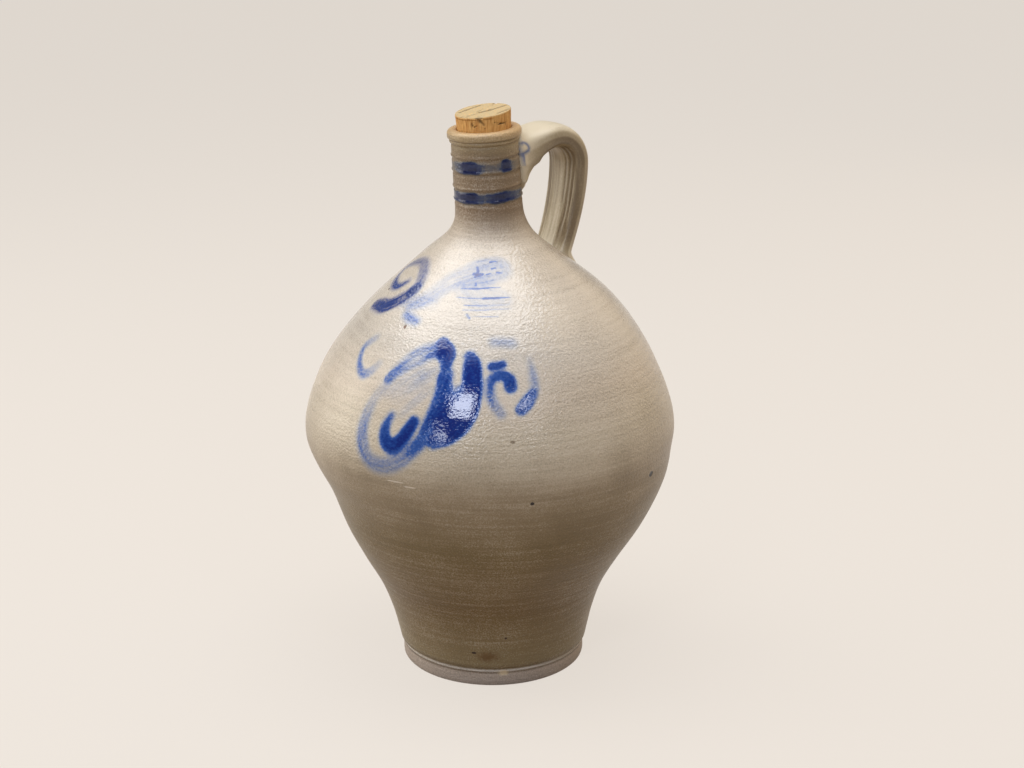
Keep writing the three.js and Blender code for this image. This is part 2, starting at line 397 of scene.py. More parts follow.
def shape(put: Put, grid: Node, place: Node, merge: float, kept: dict[str, Node]) -> Node:
    """Moves a grid's points to their places and merges those that meet.

    Args:
        put: Adds a node.
        grid: The grid.
        place: Where each point goes.
        merge: How near points have to be to merge.
        kept: Values that stay on the points, by name.

    Returns:
        The shaped surface.
    """
    for name, value in kept.items():
        grid = put("GeometryNodeStoreNamedAttribute", Geometry=grid, Name=name, Value=value)
    moved = put("GeometryNodeSetPosition", Geometry=grid, Position=place)
    return put("GeometryNodeMergeByDistance", Geometry=moved, Distance=merge)


def close_tree(put: Put, surface: Node, finish: object) -> None:
    """Ends a tree: makes the surface real and gives it its finish.

    Args:
        put: Adds a node.
        surface: What the tree built.
        finish: The material that came in.
    """
    real = put("GeometryNodeRealizeInstances", surface)
    put("NodeGroupOutput", put("GeometryNodeSetMaterial", Geometry=real, Material=finish))


def grow(thing: Object, tree: bpy.types.NodeTree, values: dict[str, object]) -> Object:
    """Runs a tree on an object and keeps the result as its plain mesh.

    Args:
        thing: The object with the guide mesh.
        tree: The tree of nodes.
        values: What goes into the tree's named inputs.

    Returns:
        The same object.
    """
    modifier = thing.modifiers.new(tree.name, "NODES")
    modifier.node_group = tree
    for item in tree.interface.items_tree:
        if item.item_type == "SOCKET" and item.in_out == "INPUT" and item.name in values:
            modifier[item.identifier] = values[item.name]
    graph = bpy.context.evaluated_depsgraph_get()
    mesh = bpy.data.meshes.new_from_object(
        thing.evaluated_get(graph), preserve_all_data_layers=True, depsgraph=graph,
    )
    thing.modifiers.clear()
    guide = thing.data
    thing.data = mesh
    mesh.name = thing.name
    bpy.data.meshes.remove(guide)
    return thing


@dataclass(frozen=True)
class Mark:
    """A speck, a chip or a flash in the glaze, or a painted highlight.

    The bearing and the height place it, the reach is its size along the wall and up it, and the edge
    is the share of the size over which it fades.
    """

    bearing: float
    height: float
    reach: tuple[float, float]
    colour: str = "#3c2a20"
    edge: float = 0.4
    depth: float = 1.0


MARKS = (
    Mark(-2.4, 23.6, (6.5, 3.4), "#745a38", 1.5, 0.0), Mark(12.6, 154.1, (1.3, 1.2), "#241712"),
    Mark(58.8, 153.1, (2.6, 2.0), "#140d0b"), Mark(-10.2, 26.5, (1.6, 0.9)), Mark(7.8, 38.9, (0.9, 0.8)),
    Mark(6.8, 9.9, (3.8, 2.4), "#e3d2b4", 0.7, 0.6), Mark(-77.0, 265.3, (0.9, 0.9)),
    Mark(-41.4, 252.3, (1.1, 2.4), "#6d4a34"), Mark(7.4, 194.1, (1.6, 0.9), "#85755f", 0.8),
    # These two pale streaks are painted highlights, glints of light on the glaze.
    Mark(-27.5, 165.6, (6.0, 0.5), "#d6cbbb", 0.3, 0.0),
    Mark(-22.8, 163.2, (4.0, 0.5), "#d6cbbb", 0.3, 0.0),
)


@dataclass(frozen=True)
class SaltGlaze:
    """Salt-glazed stoneware: grey clay under a thin clear glass that salt vapour left in the kiln.

    The glass gathers in fine beads like orange peel, so highlights are broad and grainy. Cobalt under
    it runs a little and melts smoother, so it shines like a mirror. Heights are shares of the rim's
    height, dullness is the roughness at a height and shine the specular level. The sizes of lines and
    peel are those along X, Y and Z.
    """

    name: str = "Salt-glazed stoneware"
    rim_height: float = 370.0
    # The foot's pale line at 0.0287 to 0.0311 is a painted highlight, and the dark one below it painted
    # shade.
    heights: Stops = (
        (0.0, "#aea096"), (0.0262, "#c6b8ac"), (0.027, "#8d7f72"), (0.0279, "#8d7f72"),
        (0.0287, "#efe6da"), (0.0311, "#efe6da"), (0.0319, "#84745f"), (0.042, "#948362"),
        (0.17, "#79623b"), (0.31, "#82704e"), (0.43, "#a2927a"), (0.475, "#bcae98"), (0.527, "#c7baa5"),
        (0.58, "#ccbeac"), (0.65, "#c5bbae"), (0.8, "#cdc0af"), (0.86, "#87725b"), (0.955, "#867258"),
        (0.972, "#9c8968"), (0.985, "#ae9873"), (0.998, "#c9a779"),
    )
    sway: Numbers = (0.05, 0.3, 0.0, 0.08)
    firmness: Numbers = (0.6, 0.8, 1.0, 0.0)
    pale: str = "#e2d8c9"
    dark: str = "#665a4b"
    iron: str = "#4a3226"
    violet: str = "#e6bfc4"
    cobalt: Stops = (
        (0.0, "#98a2b2"), (0.25, "#637fad"), (0.5, "#2f559f"), (0.72, "#133b89"), (0.92, "#072474"),
    )
    neck_cobalt: Stops = ((0.0, "#777463"), (0.3, "#4a5566"), (0.6, "#293259"), (0.88, "#141b42"))
    neck_share: float = 0.845
    thinning: Numbers = (0.3, 0.7, 0.8, 1.12)
    covering: Numbers = (0.0, 0.45)
    cloud_size: float = 42.0
    cloud_swing: float = 0.6
    line_size: Numbers = (90.0, 90.0, 2.2)
    line_swing: float = 0.7
    # Real beads are well under a millimetre, too fine to show, so they are drawn this coarse.
    peel_size: Numbers = (1.9, 1.9, 1.3)
    grain_size: float = 0.9
    grain_swing: float = 1.25
    pinhole_pitch: float = 13.0
    pinhole_radius: float = 0.42
    pinhole_choice: Numbers = (0.55, 1.0)
    dullness: Curve = (
        (0.0, 0.55), (0.034, 0.55), (0.045, 0.4), (0.4, 0.34), (0.54, 0.26), (0.64, 0.14), (0.68, 0.08),
        (0.78, 0.06), (0.83, 0.4), (1.0, 0.38),
    )
    shine: Curve = (
        (0.0, 0.2), (0.36, 0.2), (0.5, 0.5), (0.62, 0.55), (0.68, 0.9), (0.78, 0.9), (0.83, 0.3),
        (1.0, 0.4),
    )
    wet_swing: float = 0.12
    cobalt_gloss: Numbers = (0.25, 0.6)
    cobalt_roughness: float = 0.035
    cobalt_calm: Numbers = (0.3, 0.85, 0.9, 0.14)
    line_depth: float = 0.14
    peel_depth: float = 0.55
    pit_depth: float = 0.3
    pit_strength: float = 0.6
    ior: float = 1.58

    def material(self, marks: tuple[tuple[Vector, Mark], ...]) -> Material:
        """Builds the glaze.

        Args:
            marks: Specks and chips, each with its place in metres.

        Returns:
            The material.
        """
        material, put = new_material(self.name)
        coords = put("TexCoord").outputs["Object"]
        level = put("Math DIVIDE", put("SeparateXYZ", coords).outputs["Z"], self.rim_height * MM)
        cloud = put("TexNoise", coords, per_metre(self.cloud_size), Detail=3.0)
        lines, break_up = (
            put("TexNoise", put("Mapping", Vector=coords, Scale=[*map(per_metre, size)]), 1.0, Detail=detail)
            for size, detail in ((self.line_size, 4.0), (self.peel_size, 2.0))
        )

        # Tone changes in zones up the wall, darkest and brownest low down, and their edges sway a little.
        # At the foot, a pale line on the bead is a painted highlight, with a painted shade line under it.
        sway = put("Math SUBTRACT", cloud, 0.5)
        sway = put("Math MULTIPLY", sway, put("MapRange", level, *self.sway))
        sway = put("Math MULTIPLY", sway, put("MapRange", level, *self.firmness))
        clay = fill_ramp(put("ValToRGB", put("Math ADD", level, sway)), self.heights)
        grain = put("TexNoise", coords, per_metre(self.grain_size), Detail=2.0)
        tone = put("Math MULTIPLY_ADD", cloud, self.cloud_swing, -self.cloud_swing / 2)
        for source, swing in ((lines, self.line_swing), (grain, self.grain_swing)):
            tone = put("Math ADD", tone, put("Math MULTIPLY_ADD", source, swing, -swing / 2))
        for sign, colour in ((1.0, self.pale), (-1.0, self.dark)):
            share = put("Math MULTIPLY", tone, sign, use_clamp=True)
            clay = put("Mix RGBA", share, clay, paint(colour))

        # Cobalt is a clear bright blue where it lies thick, and greyer over the ashy neck.
        load, tint = (put("Attribute", attribute_name=name).outputs["Fac"] for name in ("cobalt", "violet"))
        thin = put("MapRange", break_up, *self.thinning)
        load = put("Math MULTIPLY", load, thin, use_clamp=True)
        ramps = (self.cobalt, self.neck_cobalt)
        pigment, murky = (fill_ramp(put("ValToRGB", load), stops) for stops in ramps)
        pigment = put("Mix RGBA", tint, pigment, paint(self.violet), blend_type="MULTIPLY")
        on_neck = put("Math GREATER_THAN", level, self.neck_share)
        pigment = put("Mix RGBA", on_neck, pigment, murky)
        colour = put("Mix RGBA", put("MapRange", load, *self.covering), clay, pigment)

        # Iron in the clay burnt out in pinholes; elsewhere a speck, a chip or a painted highlight.
        cells = put("TexVoronoi", coords, per_metre(self.pinhole_pitch))
        chosen = put("SeparateColor", cells.outputs["Color"])
        widest = self.pinhole_radius / self.pinhole_pitch
        size = put("MapRange", chosen, *self.pinhole_choice, 0.0, widest)
        hole = put("Math GREATER_THAN", size, cells.outputs["Distance"])
        colour = put("Mix RGBA", hole, colour, paint(self.iron))
        for centre, mark in marks:
            wide, tall = (size * MM for size in mark.reach)
            offset = put("VectorMath SUBTRACT", coords, centre)
            sized = put("VectorMath MULTIPLY", offset, (1 / wide, 1 / wide, 1 / tall))
            away = put("VectorMath LENGTH", sized)
            ragged = put("Math MULTIPLY_ADD", break_up, mark.edge, away)
            spot = put("MapRange", ragged, 1.0 + mark.edge, 1.0, interpolation_type="SMOOTHSTEP")
            colour = put("Mix RGBA", spot, colour, paint(mark.colour))
            hole = put("Math MAXIMUM", hole, put("Math MULTIPLY", spot, mark.depth))

        # The glass is thickest on the shoulder, which shines most, and cobalt calms its beads.
        dull, glass = (
            fill_curve(put("FloatCurve", Value=level), points) for points in (self.dullness, self.shine)
        )
        gloss = put("MapRange", load, *self.cobalt_gloss, dull, self.cobalt_roughness)
        wet = put("Math MULTIPLY_ADD", cloud, self.wet_swing, -self.wet_swing / 2)
        gloss = put("Math ADD", gloss, wet, use_clamp=True)
        melted = put("MapRange", load, *self.cobalt_calm)
        turned = put("Bump", Height=lines, Distance=self.line_depth * MM, Strength=melted)
        peel = put("Bump", Height=break_up, Distance=self.peel_depth * MM, Strength=melted, Normal=turned)
        pitted = put(
            "Bump", Height=hole, Distance=self.pit_depth * MM, Strength=self.pit_strength, Normal=peel,
            invert=True,
        )
        shader = put(
            "BsdfPrincipled", Base_Color=colour, Roughness=gloss, IOR=self.ior, Specular_IOR_Level=glass,
            Normal=pitted,
        )
        put("OutputMaterial", shader)
        return material


@dataclass(frozen=True)
class StrapGlaze:
    """The same glaze on the pulled strap, where wet fingers drew out long fine grooves.

    Grooves are browner, a painted shade, and crests paler, a painted highlight, so each reads in flat light.
    """

    name: str = "Salt-glazed pulled strap"
    groove: str = "#76644a"
    middle: str = "#a6967a"
    crest: str = "#cfc3ab"
    cobalt: str = "#3a5a94"
    # Coarser than the real beads here too, so that they show.
    peel_size: float = 1.2
    peel_swing: float = 0.3
    peel_depth: float = 0.12
    peel_strength: float = 0.7
    cloud_size: float = 24.0
    cloud_swing: float = 0.5
    gloss_swing: float = 0.2
    roughness: float = 0.36
    ior: float = 1.55

    def material(self) -> Material:
        """Builds the glaze of the strap.

        Returns:
            The material.
        """
        material, put = new_material(self.name)
        coords = put("TexCoord").outputs["Object"]
        cloud, peel = (
            put("TexNoise", coords, per_metre(size), Detail=3.0) for size in (self.cloud_size, self.peel_size)
        )
        crest, luted, load = (
            put("Attribute", attribute_name=name).outputs["Fac"] for name in ("crest", "luted", "cobalt")
        )
        # The crest value brings painted shade and painted highlight from the strap's tree.
        tone = put("Math MULTIPLY_ADD", cloud, self.cloud_swing, -self.cloud_swing / 2)
        # Near the walls the strap is painted paler, as painted light.
        tone = put("Math MULTIPLY_ADD", luted, 1.0, put("Math ADD", tone, crest))
        speck = put("Math MULTIPLY_ADD", peel, self.peel_swing, -self.peel_swing / 2)
        clay = put("ValToRGB", put("Math ADD", tone, speck))
        fill_ramp(clay, ((0.1, self.groove), (0.5, self.middle), (0.9, self.crest)))
        colour = put("Mix RGBA", load, clay, paint(self.cobalt))
        bump = put("Bump", Height=peel, Distance=self.peel_depth * MM, Strength=self.peel_strength)
        gloss = put("Math MULTIPLY_ADD", cloud, self.gloss_swing, self.roughness - self.gloss_swing / 2)
        put(
            "OutputMaterial",
            put("BsdfPrincipled", Base_Color=colour, Roughness=gloss, IOR=self.ior, Normal=bump),
        )
        return material


@dataclass(frozen=True)
class BarkCork:
    """Natural cork punched from bark: dull, orange brown at the side and pale yellow where it was cut.

    Dark woody pores run straight across it, as lines on the top and as pits on the side, and no part
    of it shines.
    """

    name: str = "Natural punched cork"
    shade: str = "#bd8043"
    side: str = "#e2b26c"
    cut: str = "#b6a17a"
    pore: str = "#3a2a18"
    grain_size: float = 1.1
    streak_size: Numbers = (1.1, 1.1, 9.0)
    grain_depth: float = 0.25
    grain_strength: float = 0.8
    roughness: float = 0.82
    ior: float = 1.45

    def material(self) -> Material:
        """Builds the cork.

        Returns:
            The material.
        """
        material, put = new_material(self.name)
        coords = put("TexCoord").outputs["Object"]
        upright = put("Mapping", Vector=coords, Scale=[*map(per_metre, self.streak_size)])
        grain = put("TexNoise", coords, per_metre(self.grain_size), Detail=4.0)
        side = put("ValToRGB", put("TexNoise", upright, 1.0, Detail=3.0))
        fill_ramp(side, ((0.3, self.shade), (0.62, self.side)))
        top = fill_ramp(put("ValToRGB", grain), ((0.25, self.side), (0.48, self.cut)))
        tone, pore = (put("Attribute", attribute_name=name).outputs["Fac"] for name in ("tone", "pore"))
        colour = put("Mix RGBA", tone, side, top)
        colour = put("Mix RGBA", pore, colour, paint(self.pore))
        bump = put("Bump", Height=grain, Distance=self.grain_depth * MM, Strength=self.grain_strength)
        put(
            "OutputMaterial",
            put("BsdfPrincipled", Base_Color=colour, Roughness=self.roughness, IOR=self.ior, Normal=bump),
        )
        return material


@dataclass(frozen=True)
class Stroke:
    """One stroke of the cobalt brush.

    Each mark is a bearing, a height, a width and a load from 0 to 1. The streak is the share of the
    load that the bristles leave out, and the bleed is the softness of the edge in millimetres. Violet
    tells how far the cobalt turned violet where it lies thin over iron.
    """

    marks: Marks
    streak: float = 0.3
    bleed: float = 2.2
    violet: float = 0.0


# The painted 2, taken as a capacity mark.
NUMERAL = (
    Stroke(
        (
            (-64, 273, 5.5, 0.45), (-69, 269, 6.5, 0.6), (-76, 268.5, 6.5, 0.6), (-84, 271, 6, 0.5),
            (-88, 276, 5.5, 0.42), (-80, 281.5, 6.5, 0.42), (-66, 284, 8, 0.42), (-56, 280, 9, 0.42),
            (-51.5, 274.5, 9, 0.4), (-52, 270, 9, 0.46),
        ),
        bleed=5.5, violet=0.8,
    ),
    Stroke(
        (
            (-51, 272, 8, 0.42), (-54, 267.5, 10, 0.55), (-58.5, 262.5, 11, 0.62), (-64, 258.5, 12, 0.64),
            (-70, 257.5, 11, 0.66), (-75, 256, 8, 0.66),
        ),
        0.4, 6.1, 1.0,
    ),
    Stroke(((-45, 258, 5, 0.5), (-41, 257, 7, 0.6), (-37, 256, 6, 0.55)), bleed=6.8),
)

# The large leaf, with a loop on its left and the heaviest strokes on its right.
LEAF = (
    Stroke(
        (
            (-37, 224.5, 6, 0.8), (-35.2, 229, 8, 0.6), (-32.6, 233.5, 10, 0.46),
            (-29.8, 237.5, 12, 0.46), (-26.6, 240.6, 13, 0.52), (-22.8, 243, 12, 0.7),
            (-19.5, 244.5, 10, 0.9),
        ),
        0.62, 5.1,
    ),
    Stroke(
        (
            (-20.2, 247.3, 8, 0.85), (-18.4, 243.9, 12, 0.95), (-17.2, 240.3, 12, 0.95),
            (-16.6, 236.7, 8, 0.6),
        ),
        bleed=3.6,
    ),
    Stroke(((-31, 215, 8, 0.12), (-25.5, 225, 10, 0.24), (-20, 232, 9, 0.2)), 0.8, 6.8),
    Stroke(((-35, 217, 8, 0.14), (-31, 226, 9, 0.2), (-25.5, 233, 8, 0.16)), 0.8, 6.8),
    Stroke(((-28, 207, 6, 0.14), (-24, 215, 6, 0.26), (-20.5, 222, 6, 0.14)), 0.8, 5.4),
    Stroke(
        (
            (-36.5, 222.7, 6, 0.2), (-38.8, 215, 7, 0.24), (-40.4, 206, 8, 0.34), (-41.2, 195.7, 9, 0.48),
            (-40.4, 186.5, 9.5, 0.54), (-38, 178.5, 10, 0.48), (-34, 174.4, 11, 0.43),
            (-29.6, 175.4, 11, 0.4), (-26, 179.8, 11, 0.42), (-23.4, 184.8, 10, 0.48), (-21, 190, 9, 0.5),
        ),
        0.42, 6.8,
    ),
    Stroke(
        (
            (-16, 235.1, 7, 0.5), (-15.6, 231.3, 9.5, 0.78), (-15.6, 227.1, 10, 0.88),
            (-15.2, 222.7, 10.5, 0.88), (-15.2, 217.3, 11.5, 0.88), (-15.8, 211.1, 12, 0.86),
            (-17, 204.7, 12, 0.82), (-18.4, 198.7, 11, 0.72), (-20, 193.1, 9, 0.5), (-22.6, 187, 8, 0.2),
        ),
        0.35, 5.7,
    ),
    Stroke(
        (
            (-8, 241.1, 8, 0.7), (-6.8, 237.5, 11, 0.95), (-6.2, 232.1, 12, 1.0),
            (-5.8, 226.9, 12.4, 1.0), (-5.6, 221.5, 12.4, 1.0), (-6, 215.5, 13, 1.0),
            (-7, 210.3, 14, 1.0), (-8.8, 205.1, 15, 1.0), (-11, 200.5, 14, 1.0),
            (-13.4, 196.7, 12.5, 0.92), (-16, 193.3, 9, 0.72),
        ),
        0.14, 4.6,
    ),
    Stroke(
        ((-10.5, 222.5, 8, 0.5), (-10.5, 217, 12, 0.95), (-11.5, 210, 14, 1.0), (-13.5, 203, 13, 0.95)),
        0.3, 5.4,
    ),
    Stroke(
        (
            (-31.3, 205, 5.5, 0.5), (-32.6, 198, 7, 0.72), (-32, 191, 9, 0.86), (-29.4, 187.3, 10, 0.92),
            (-26.6, 191.5, 8.6, 1.0), (-24.6, 198, 8, 1.0), (-23.2, 203.5, 7, 0.9),
        ),
        0.25, 5.1,
    ),
)

# Small scrolls and dabs on both sides of the leaf.
SCROLLS = (
    Stroke(
        (
            (-53.5, 243, 6, 0.2), (-56, 239, 6, 0.32), (-57, 235, 5, 0.46), (-54.5, 228, 5, 0.56),
            (-49.5, 223, 6.5, 0.56), (-46, 226, 6.5, 0.36), (-44, 231, 5, 0.2),
        ),
        bleed=3.8,
    ),
    Stroke(((1, 249, 7, 0.42), (8, 248.5, 7, 0.38)), 0.4, 6.1),
    Stroke(((0.4, 236.3, 5.2, 0.95), (4.4, 237.1, 5, 0.95)), 0.3, 4.6),
    Stroke(
        (
            (7.4, 225.1, 7.5, 0.92), (6.8, 228.9, 8, 0.92), (5, 230.9, 6.8, 0.85), (2.8, 230.9, 6.4, 0.8),
            (0.8, 229.1, 6.4, 0.72), (0.4, 224.9, 6.4, 0.62), (0.8, 219.9, 6.6, 0.55),
            (2.2, 215.1, 6.6, 0.45), (4.2, 210.5, 6.6, 0.34),
        ),
        0.3, 4.9,
    ),
    Stroke(((14.6, 239, 4, 0.2), (15.3, 231, 5.5, 0.45), (15.6, 223.5, 6, 0.45)), 0.4, 5.1),
    Stroke(((14.4, 220, 7, 0.75), (12.5, 216, 8, 0.9), (10.6, 212.5, 7, 0.85)), 0.35, 4.6),
)

# Pale washes under the neck, and the thin dark lines that lie in them.
WASHES = (
    Stroke(
        (
            (-46, 262, 9, 0.3), (-39.8, 267.1, 13, 0.3), (-34, 272.9, 14, 0.26), (-27, 278.3, 15, 0.24),
            (-17, 281.6, 18, 0.3), (-6, 284, 22, 0.36), (5, 285.5, 20, 0.34),
        ),
        0.55, 7.0,
    ),
    Stroke(((-13, 276, 20, 0.2), (-4.8, 272, 22, 0.24), (3, 270, 18, 0.2)), 0.6, 9.0),
    Stroke(((-52, 263, 8, 0.32), (-44, 266, 10, 0.24), (-33, 266, 9, 0.14)), 0.6, 7.0),
    Stroke(((-12.4, 283.1, 1.6, 0.9), (-9.2, 282.6, 2.4, 1.0), (-5.6, 283.1, 1.4, 0.8)), 0.3, 1.4),
    Stroke(((-10.4, 286.5, 1, 0.6), (-9.4, 283.9, 1.6, 1.0), (-11.2, 281.5, 1, 0.8)), 0.3, 1.2),
    Stroke(((-10.2, 278.5, 1, 0.6), (-10.0, 277.3, 1, 0.7)), 0.3, 1.0),
    Stroke(((0.2, 289.3, 1, 0.8), (3.4, 289.6, 1.1, 0.9), (6.6, 289.5, 0.8, 0.5)), 0.4, 1.0),
    Stroke(((1.2, 285.9, 1, 0.8), (4.4, 286.3, 0.9, 0.6)), 0.4, 1.0),
    Stroke(((5, 283.9, 1, 0.7), (8.8, 283.7, 0.8, 0.5)), 0.4, 1.0),
    Stroke(((-3, 282.9, 1, 0.7), (0, 283.5, 0.8, 0.5)), 0.4, 1.0),
    Stroke(
        ((-19, 275.5, 0.7, 0.3), (-13, 275.7, 1, 0.8), (-7.2, 275.9, 1.1, 0.8), (5.4, 276.5, 0.8, 0.4)),
        0.7, 1.0,
    ),
    Stroke(((-20.6, 270.9, 0.7, 0.4), (-12.6, 270.9, 0.8, 0.6), (-5.6, 271, 0.8, 0.6)), 0.7, 1.0),
    Stroke(((-5, 271, 1.3, 1.0), (3, 271.3, 1.2, 1.0), (10.2, 271.5, 0.7, 0.3)), 0.4, 1.0),
    Stroke(
        ((-15.2, 267.2, 0.8, 0.5), (-8, 267.3, 1, 0.8), (2.4, 267.7, 0.9, 0.7), (9.4, 268.1, 0.7, 0.4)),
        0.8, 1.0,
    ),
    Stroke(((-15.2, 264.9, 0.9, 0.7), (-6.4, 265.1, 0.8, 0.6), (9, 265.7, 0.7, 0.4)), 0.8, 1.0),
    Stroke(((-9.6, 261.9, 0.7, 0.4), (-3.8, 261.9, 0.8, 0.5), (2.6, 262.1, 0.7, 0.4)), 0.8, 1.0),
    Stroke(((-12.8, 262.7, 1.6, 0.5), (-11.2, 260.9, 1.6, 0.6)), 0.4, 1.6),
)


@dataclass(frozen=True)
class NeckBand:
    """A band of cobalt laid on the turning neck, with the brush's uneven load round it."""

    low: float
    high: float
    loads: tuple[tuple[float, float], ...]


NECK_BANDS = (
    NeckBand(
        323.6, 331.2,
        (
            (-180, 0.7), (-120, 0.6), (-75, 0.7), (-52, 0.8), (-42, 0.98), (-22, 1.0), (-14, 0.62),
            (-4, 0.5), (6, 0.7), (14, 0.92), (28, 0.95), (38, 0.72), (52, 0.62), (68, 0.5), (90, 0.2),
            (170, 0.3), (180, 0.7),
        ),
    ),
    NeckBand(
        343.2, 351.4,
        (
            (-180, 0.45), (-110, 0.6), (-70, 0.3), (-56, 0.55), (-46, 0.72), (-40, 0.98), (-18, 1.0),
            (-8, 0.55), (0, 0.34), (18, 0.3), (26, 0.45), (31, 0.95), (42, 0.95), (50, 0.35), (62, 0.2),
            (90, 0.1), (170, 0.2), (180, 0.45),
        ),
    ),
)


@dataclass
class ThrownBody:
    """The thrown vessel: foot, belly, neck and collar outside, bore and floor inside.

    Swell and fall give the wall below and above the belly, as shares of the climb and of the change
    of radius. Drift has heights as shares of the neck's base, each with a share of the reach.
    """

    name: str = "thrown_body"
    foot_radius: float = 63.2
    foot_band: float = 12.8
    foot_edge: float = 2.2
    resting_ring: float = 13.0
    ring_bevel: Numbers = (0.4, 0.1)
    ring_inset: float = 3.0
    base_recess: float = 1.6
    recess_slope: float = 2.0
    score_depth: float = 0.9
    score_width: float = 2.4
    score_fullness: float = 0.7
    score_overrun: float = 1.1
    foot_bead: float = 0.4
    bead_height: float = 1.2
    wall_root_step: float = 1.8
    belly_radius: float = 125.3
    belly_height: float = 172.0
    neck_base: float = 309.0
    neck_height: float = 61.0
    neck_radius: float = 22.4
    neck_root_swell: float = 1.4
    neck_root_height: float = 10.0
    neck_line_depth: float = 0.6
    neck_line_width: float = 1.6
    neck_row_pitch: float = 0.6
    neck_end_gap: float = 0.4
    neck_crest: float = 0.55
    crest_offset: float = 2.2
    collar_step: float = 1.2
    collar_step_height: float = 2.4
    notch_half: float = 0.3
    notch_depth: float = 0.35
    torus_start: float = 0.1
    collar_overhang: float = 2.1
    collar_height: float = 8.4
    collar_rounding: float = 2.6
    under_rounding: float = 1.2
    mouth_rounding: float = 1.6
    bore_top: float = 17.84
    throat: float = 15.4
    bore_end: float = 335.0
    throat_end: float = 317.0
    wall: float = 7.0
    inner_pitch: float = 14.0
    floor: float = 9.0
    floor_corner: float = 14.0
    floor_clearance: float = 6.0
    drift_reach: float = 4.0
    drift_bearing: float = -40.0
    neck_lean: float = 4.2
    lean_drop: float = 5.0
    lean_blend: float = 26.0
    zones: Marks = ((0, 150, 3.4), (150, 256, 1.5), (256, 292, 0.8), (292, 330, 1.5))
    columns: int = 264
    front_share: float = 0.73
    front_arc: float = 140.0
    front_start: float = -98.0
    swell: Curve = (
        (0.14, 0.088), (0.28, 0.22), (0.42, 0.422), (0.56, 0.628), (0.72, 0.804), (0.86, 0.94), (1, 1),
    )
    fall: Curve = ((0.19, 0.067), (0.4, 0.212), (0.62, 0.45), (0.83, 0.782), (0.925, 0.938), (1, 1))
    neck_lines: Numbers = (0.298, 0.452, 0.63, 0.77)
    drift: Curve = (
        (0, 0.4), (0.227, 0.15), (0.414, 1), (0.531, -0.05), (0.663, -0.05), (0.848, 0.675),
        (0.958, 0.075),
    )

    @property
    def rim(self) -> float:
        """The height of the rim."""
        return self.neck_base + self.neck_height

    @property
    def lean_height(self) -> float:
        """The height at which the neck starts to lean."""
        return self.neck_base - self.lean_drop

    def wall_line(self, step: float) -> np.ndarray:
        """Walks the outside of the wall, from the foot band to the foot of the neck.

        Args:
            step: The distance between points.

        Returns:
            Radius and height of each point.
        """
        root = self.foot_radius + self.wall_root_step
        low = self.foot_band + self.score_width / 2
        neck = self.neck_radius + self.neck_root_swell
        guide = [(root, low)]
        for shares, (r0, h0), (r1, h1) in (
            (self.swell, (root, low), (self.belly_radius, self.belly_height)),
            (self.fall, (self.belly_radius, self.belly_height), (neck, self.neck_base)),
        ):
            guide += [(r0 + growth * (r1 - r0), h0 + climb * (h1 - h0)) for climb, growth in shares]
        guide.append((self.neck_radius, self.neck_base + self.neck_root_height))
        return smooth_line(np.array(guide), step)

    def radius_at(self, height: np.ndarray) -> np.ndarray:
        """Gives the outside radius at heights between the foot band and the collar."""
        line = self.wall_line(1.0)
        return np.interp(height, line[:, 1], line[:, 0])

    def outline(self) -> np.ndarray:
        """Gives the rows of the turned form, from the middle of the base round to the floor inside.

        Returns:
            Radius, height and outside share of each row.
        """
        ring = self.foot_radius - self.resting_ring
        foot, wall = self._foot_rows(ring), []
        for start, end, step in self.zones:
            wall += [(r, h) for r, h in self.wall_line(step) if start <= h < end]
        wall += self._neck_rows() + self._collar_rows()
        mouth = rounding(self.bore_top, self.rim, -self.mouth_rounding, self.mouth_rounding, 6)[::-1]
        rows = [(r, h, float(r > ring and h > self.foot_edge / 2)) for r, h in foot]
        rows += [(r, h, 1.0) for r, h in wall] + [(r, h, 0.5) for r, h in mouth]
        return np.array(rows + [(r, h, 0.0) for r, h in self._inner_rows()])

    def _foot_rows(self, ring: float) -> list[Numbers]:
        """Gives the base, the foot band, its bead and the scored line above.

        Args:
            ring: The inner radius of the resting ring.

        Returns:
            Radius and height of each row.
        """
        rows = [(r, self.base_recess) for r in (0.0, ring * 0.5, ring - self.recess_slope)]
        inset, rise = self.ring_bevel
        rows += [(ring - inset, rise), (ring, 0.0), (ring + self.ring_inset, 0.0)]
        rows += rounding(self.foot_radius, 0.0, self.foot_edge, -self.foot_edge, 6)[::-1]
        top = self.foot_band - self.score_width
        rows += [(self.foot_radius, h) for h in np.linspace(self.foot_edge, top, 6)[1:]]
        for share in np.linspace(0, 1, 8)[1:]:
            bead = self.foot_bead * math.sin(math.pi * share)
            rows.append((self.foot_radius + bead, top + share * self.bead_height))
        top += self.bead_height
        for share in np.linspace(0, 1, 7)[1:-1]:
            dip = self.score_depth * math.sin(math.pi * share) ** self.score_fullness
            rise = ease(share) * self.wall_root_step
            height = top + share * self.score_width * self.score_overrun
            rows.append((self.foot_radius - dip + rise, height))
        return rows

    def _neck_rows(self) -> list[Numbers]:
        """Gives the neck, with its turned lines and the crests beside them.

        Returns:
            Radius and height of each row.
        """
        under = self.rim - self.collar_height
        middles = [self.rim - share * self.neck_height for share in self.neck_lines]
        rows = []
        low, pitch = self.neck_base + self.neck_root_height, self.neck_row_pitch
        for height in np.arange(low + pitch, under - self.neck_end_gap, pitch):
            away = [(height - middle) / self.neck_line_width * 2 for middle in middles]
            last = (height - (under - self.neck_line_width / 2)) / self.neck_line_width * 2
            line = sum(math.exp(-(a**2)) for a in (*away, last))
            crest = sum(math.exp(-((a - self.crest_offset) ** 2)) for a in away)
            rows.append((self.neck_radius + self.neck_crest * crest - self.neck_line_depth * line, height))
        return rows

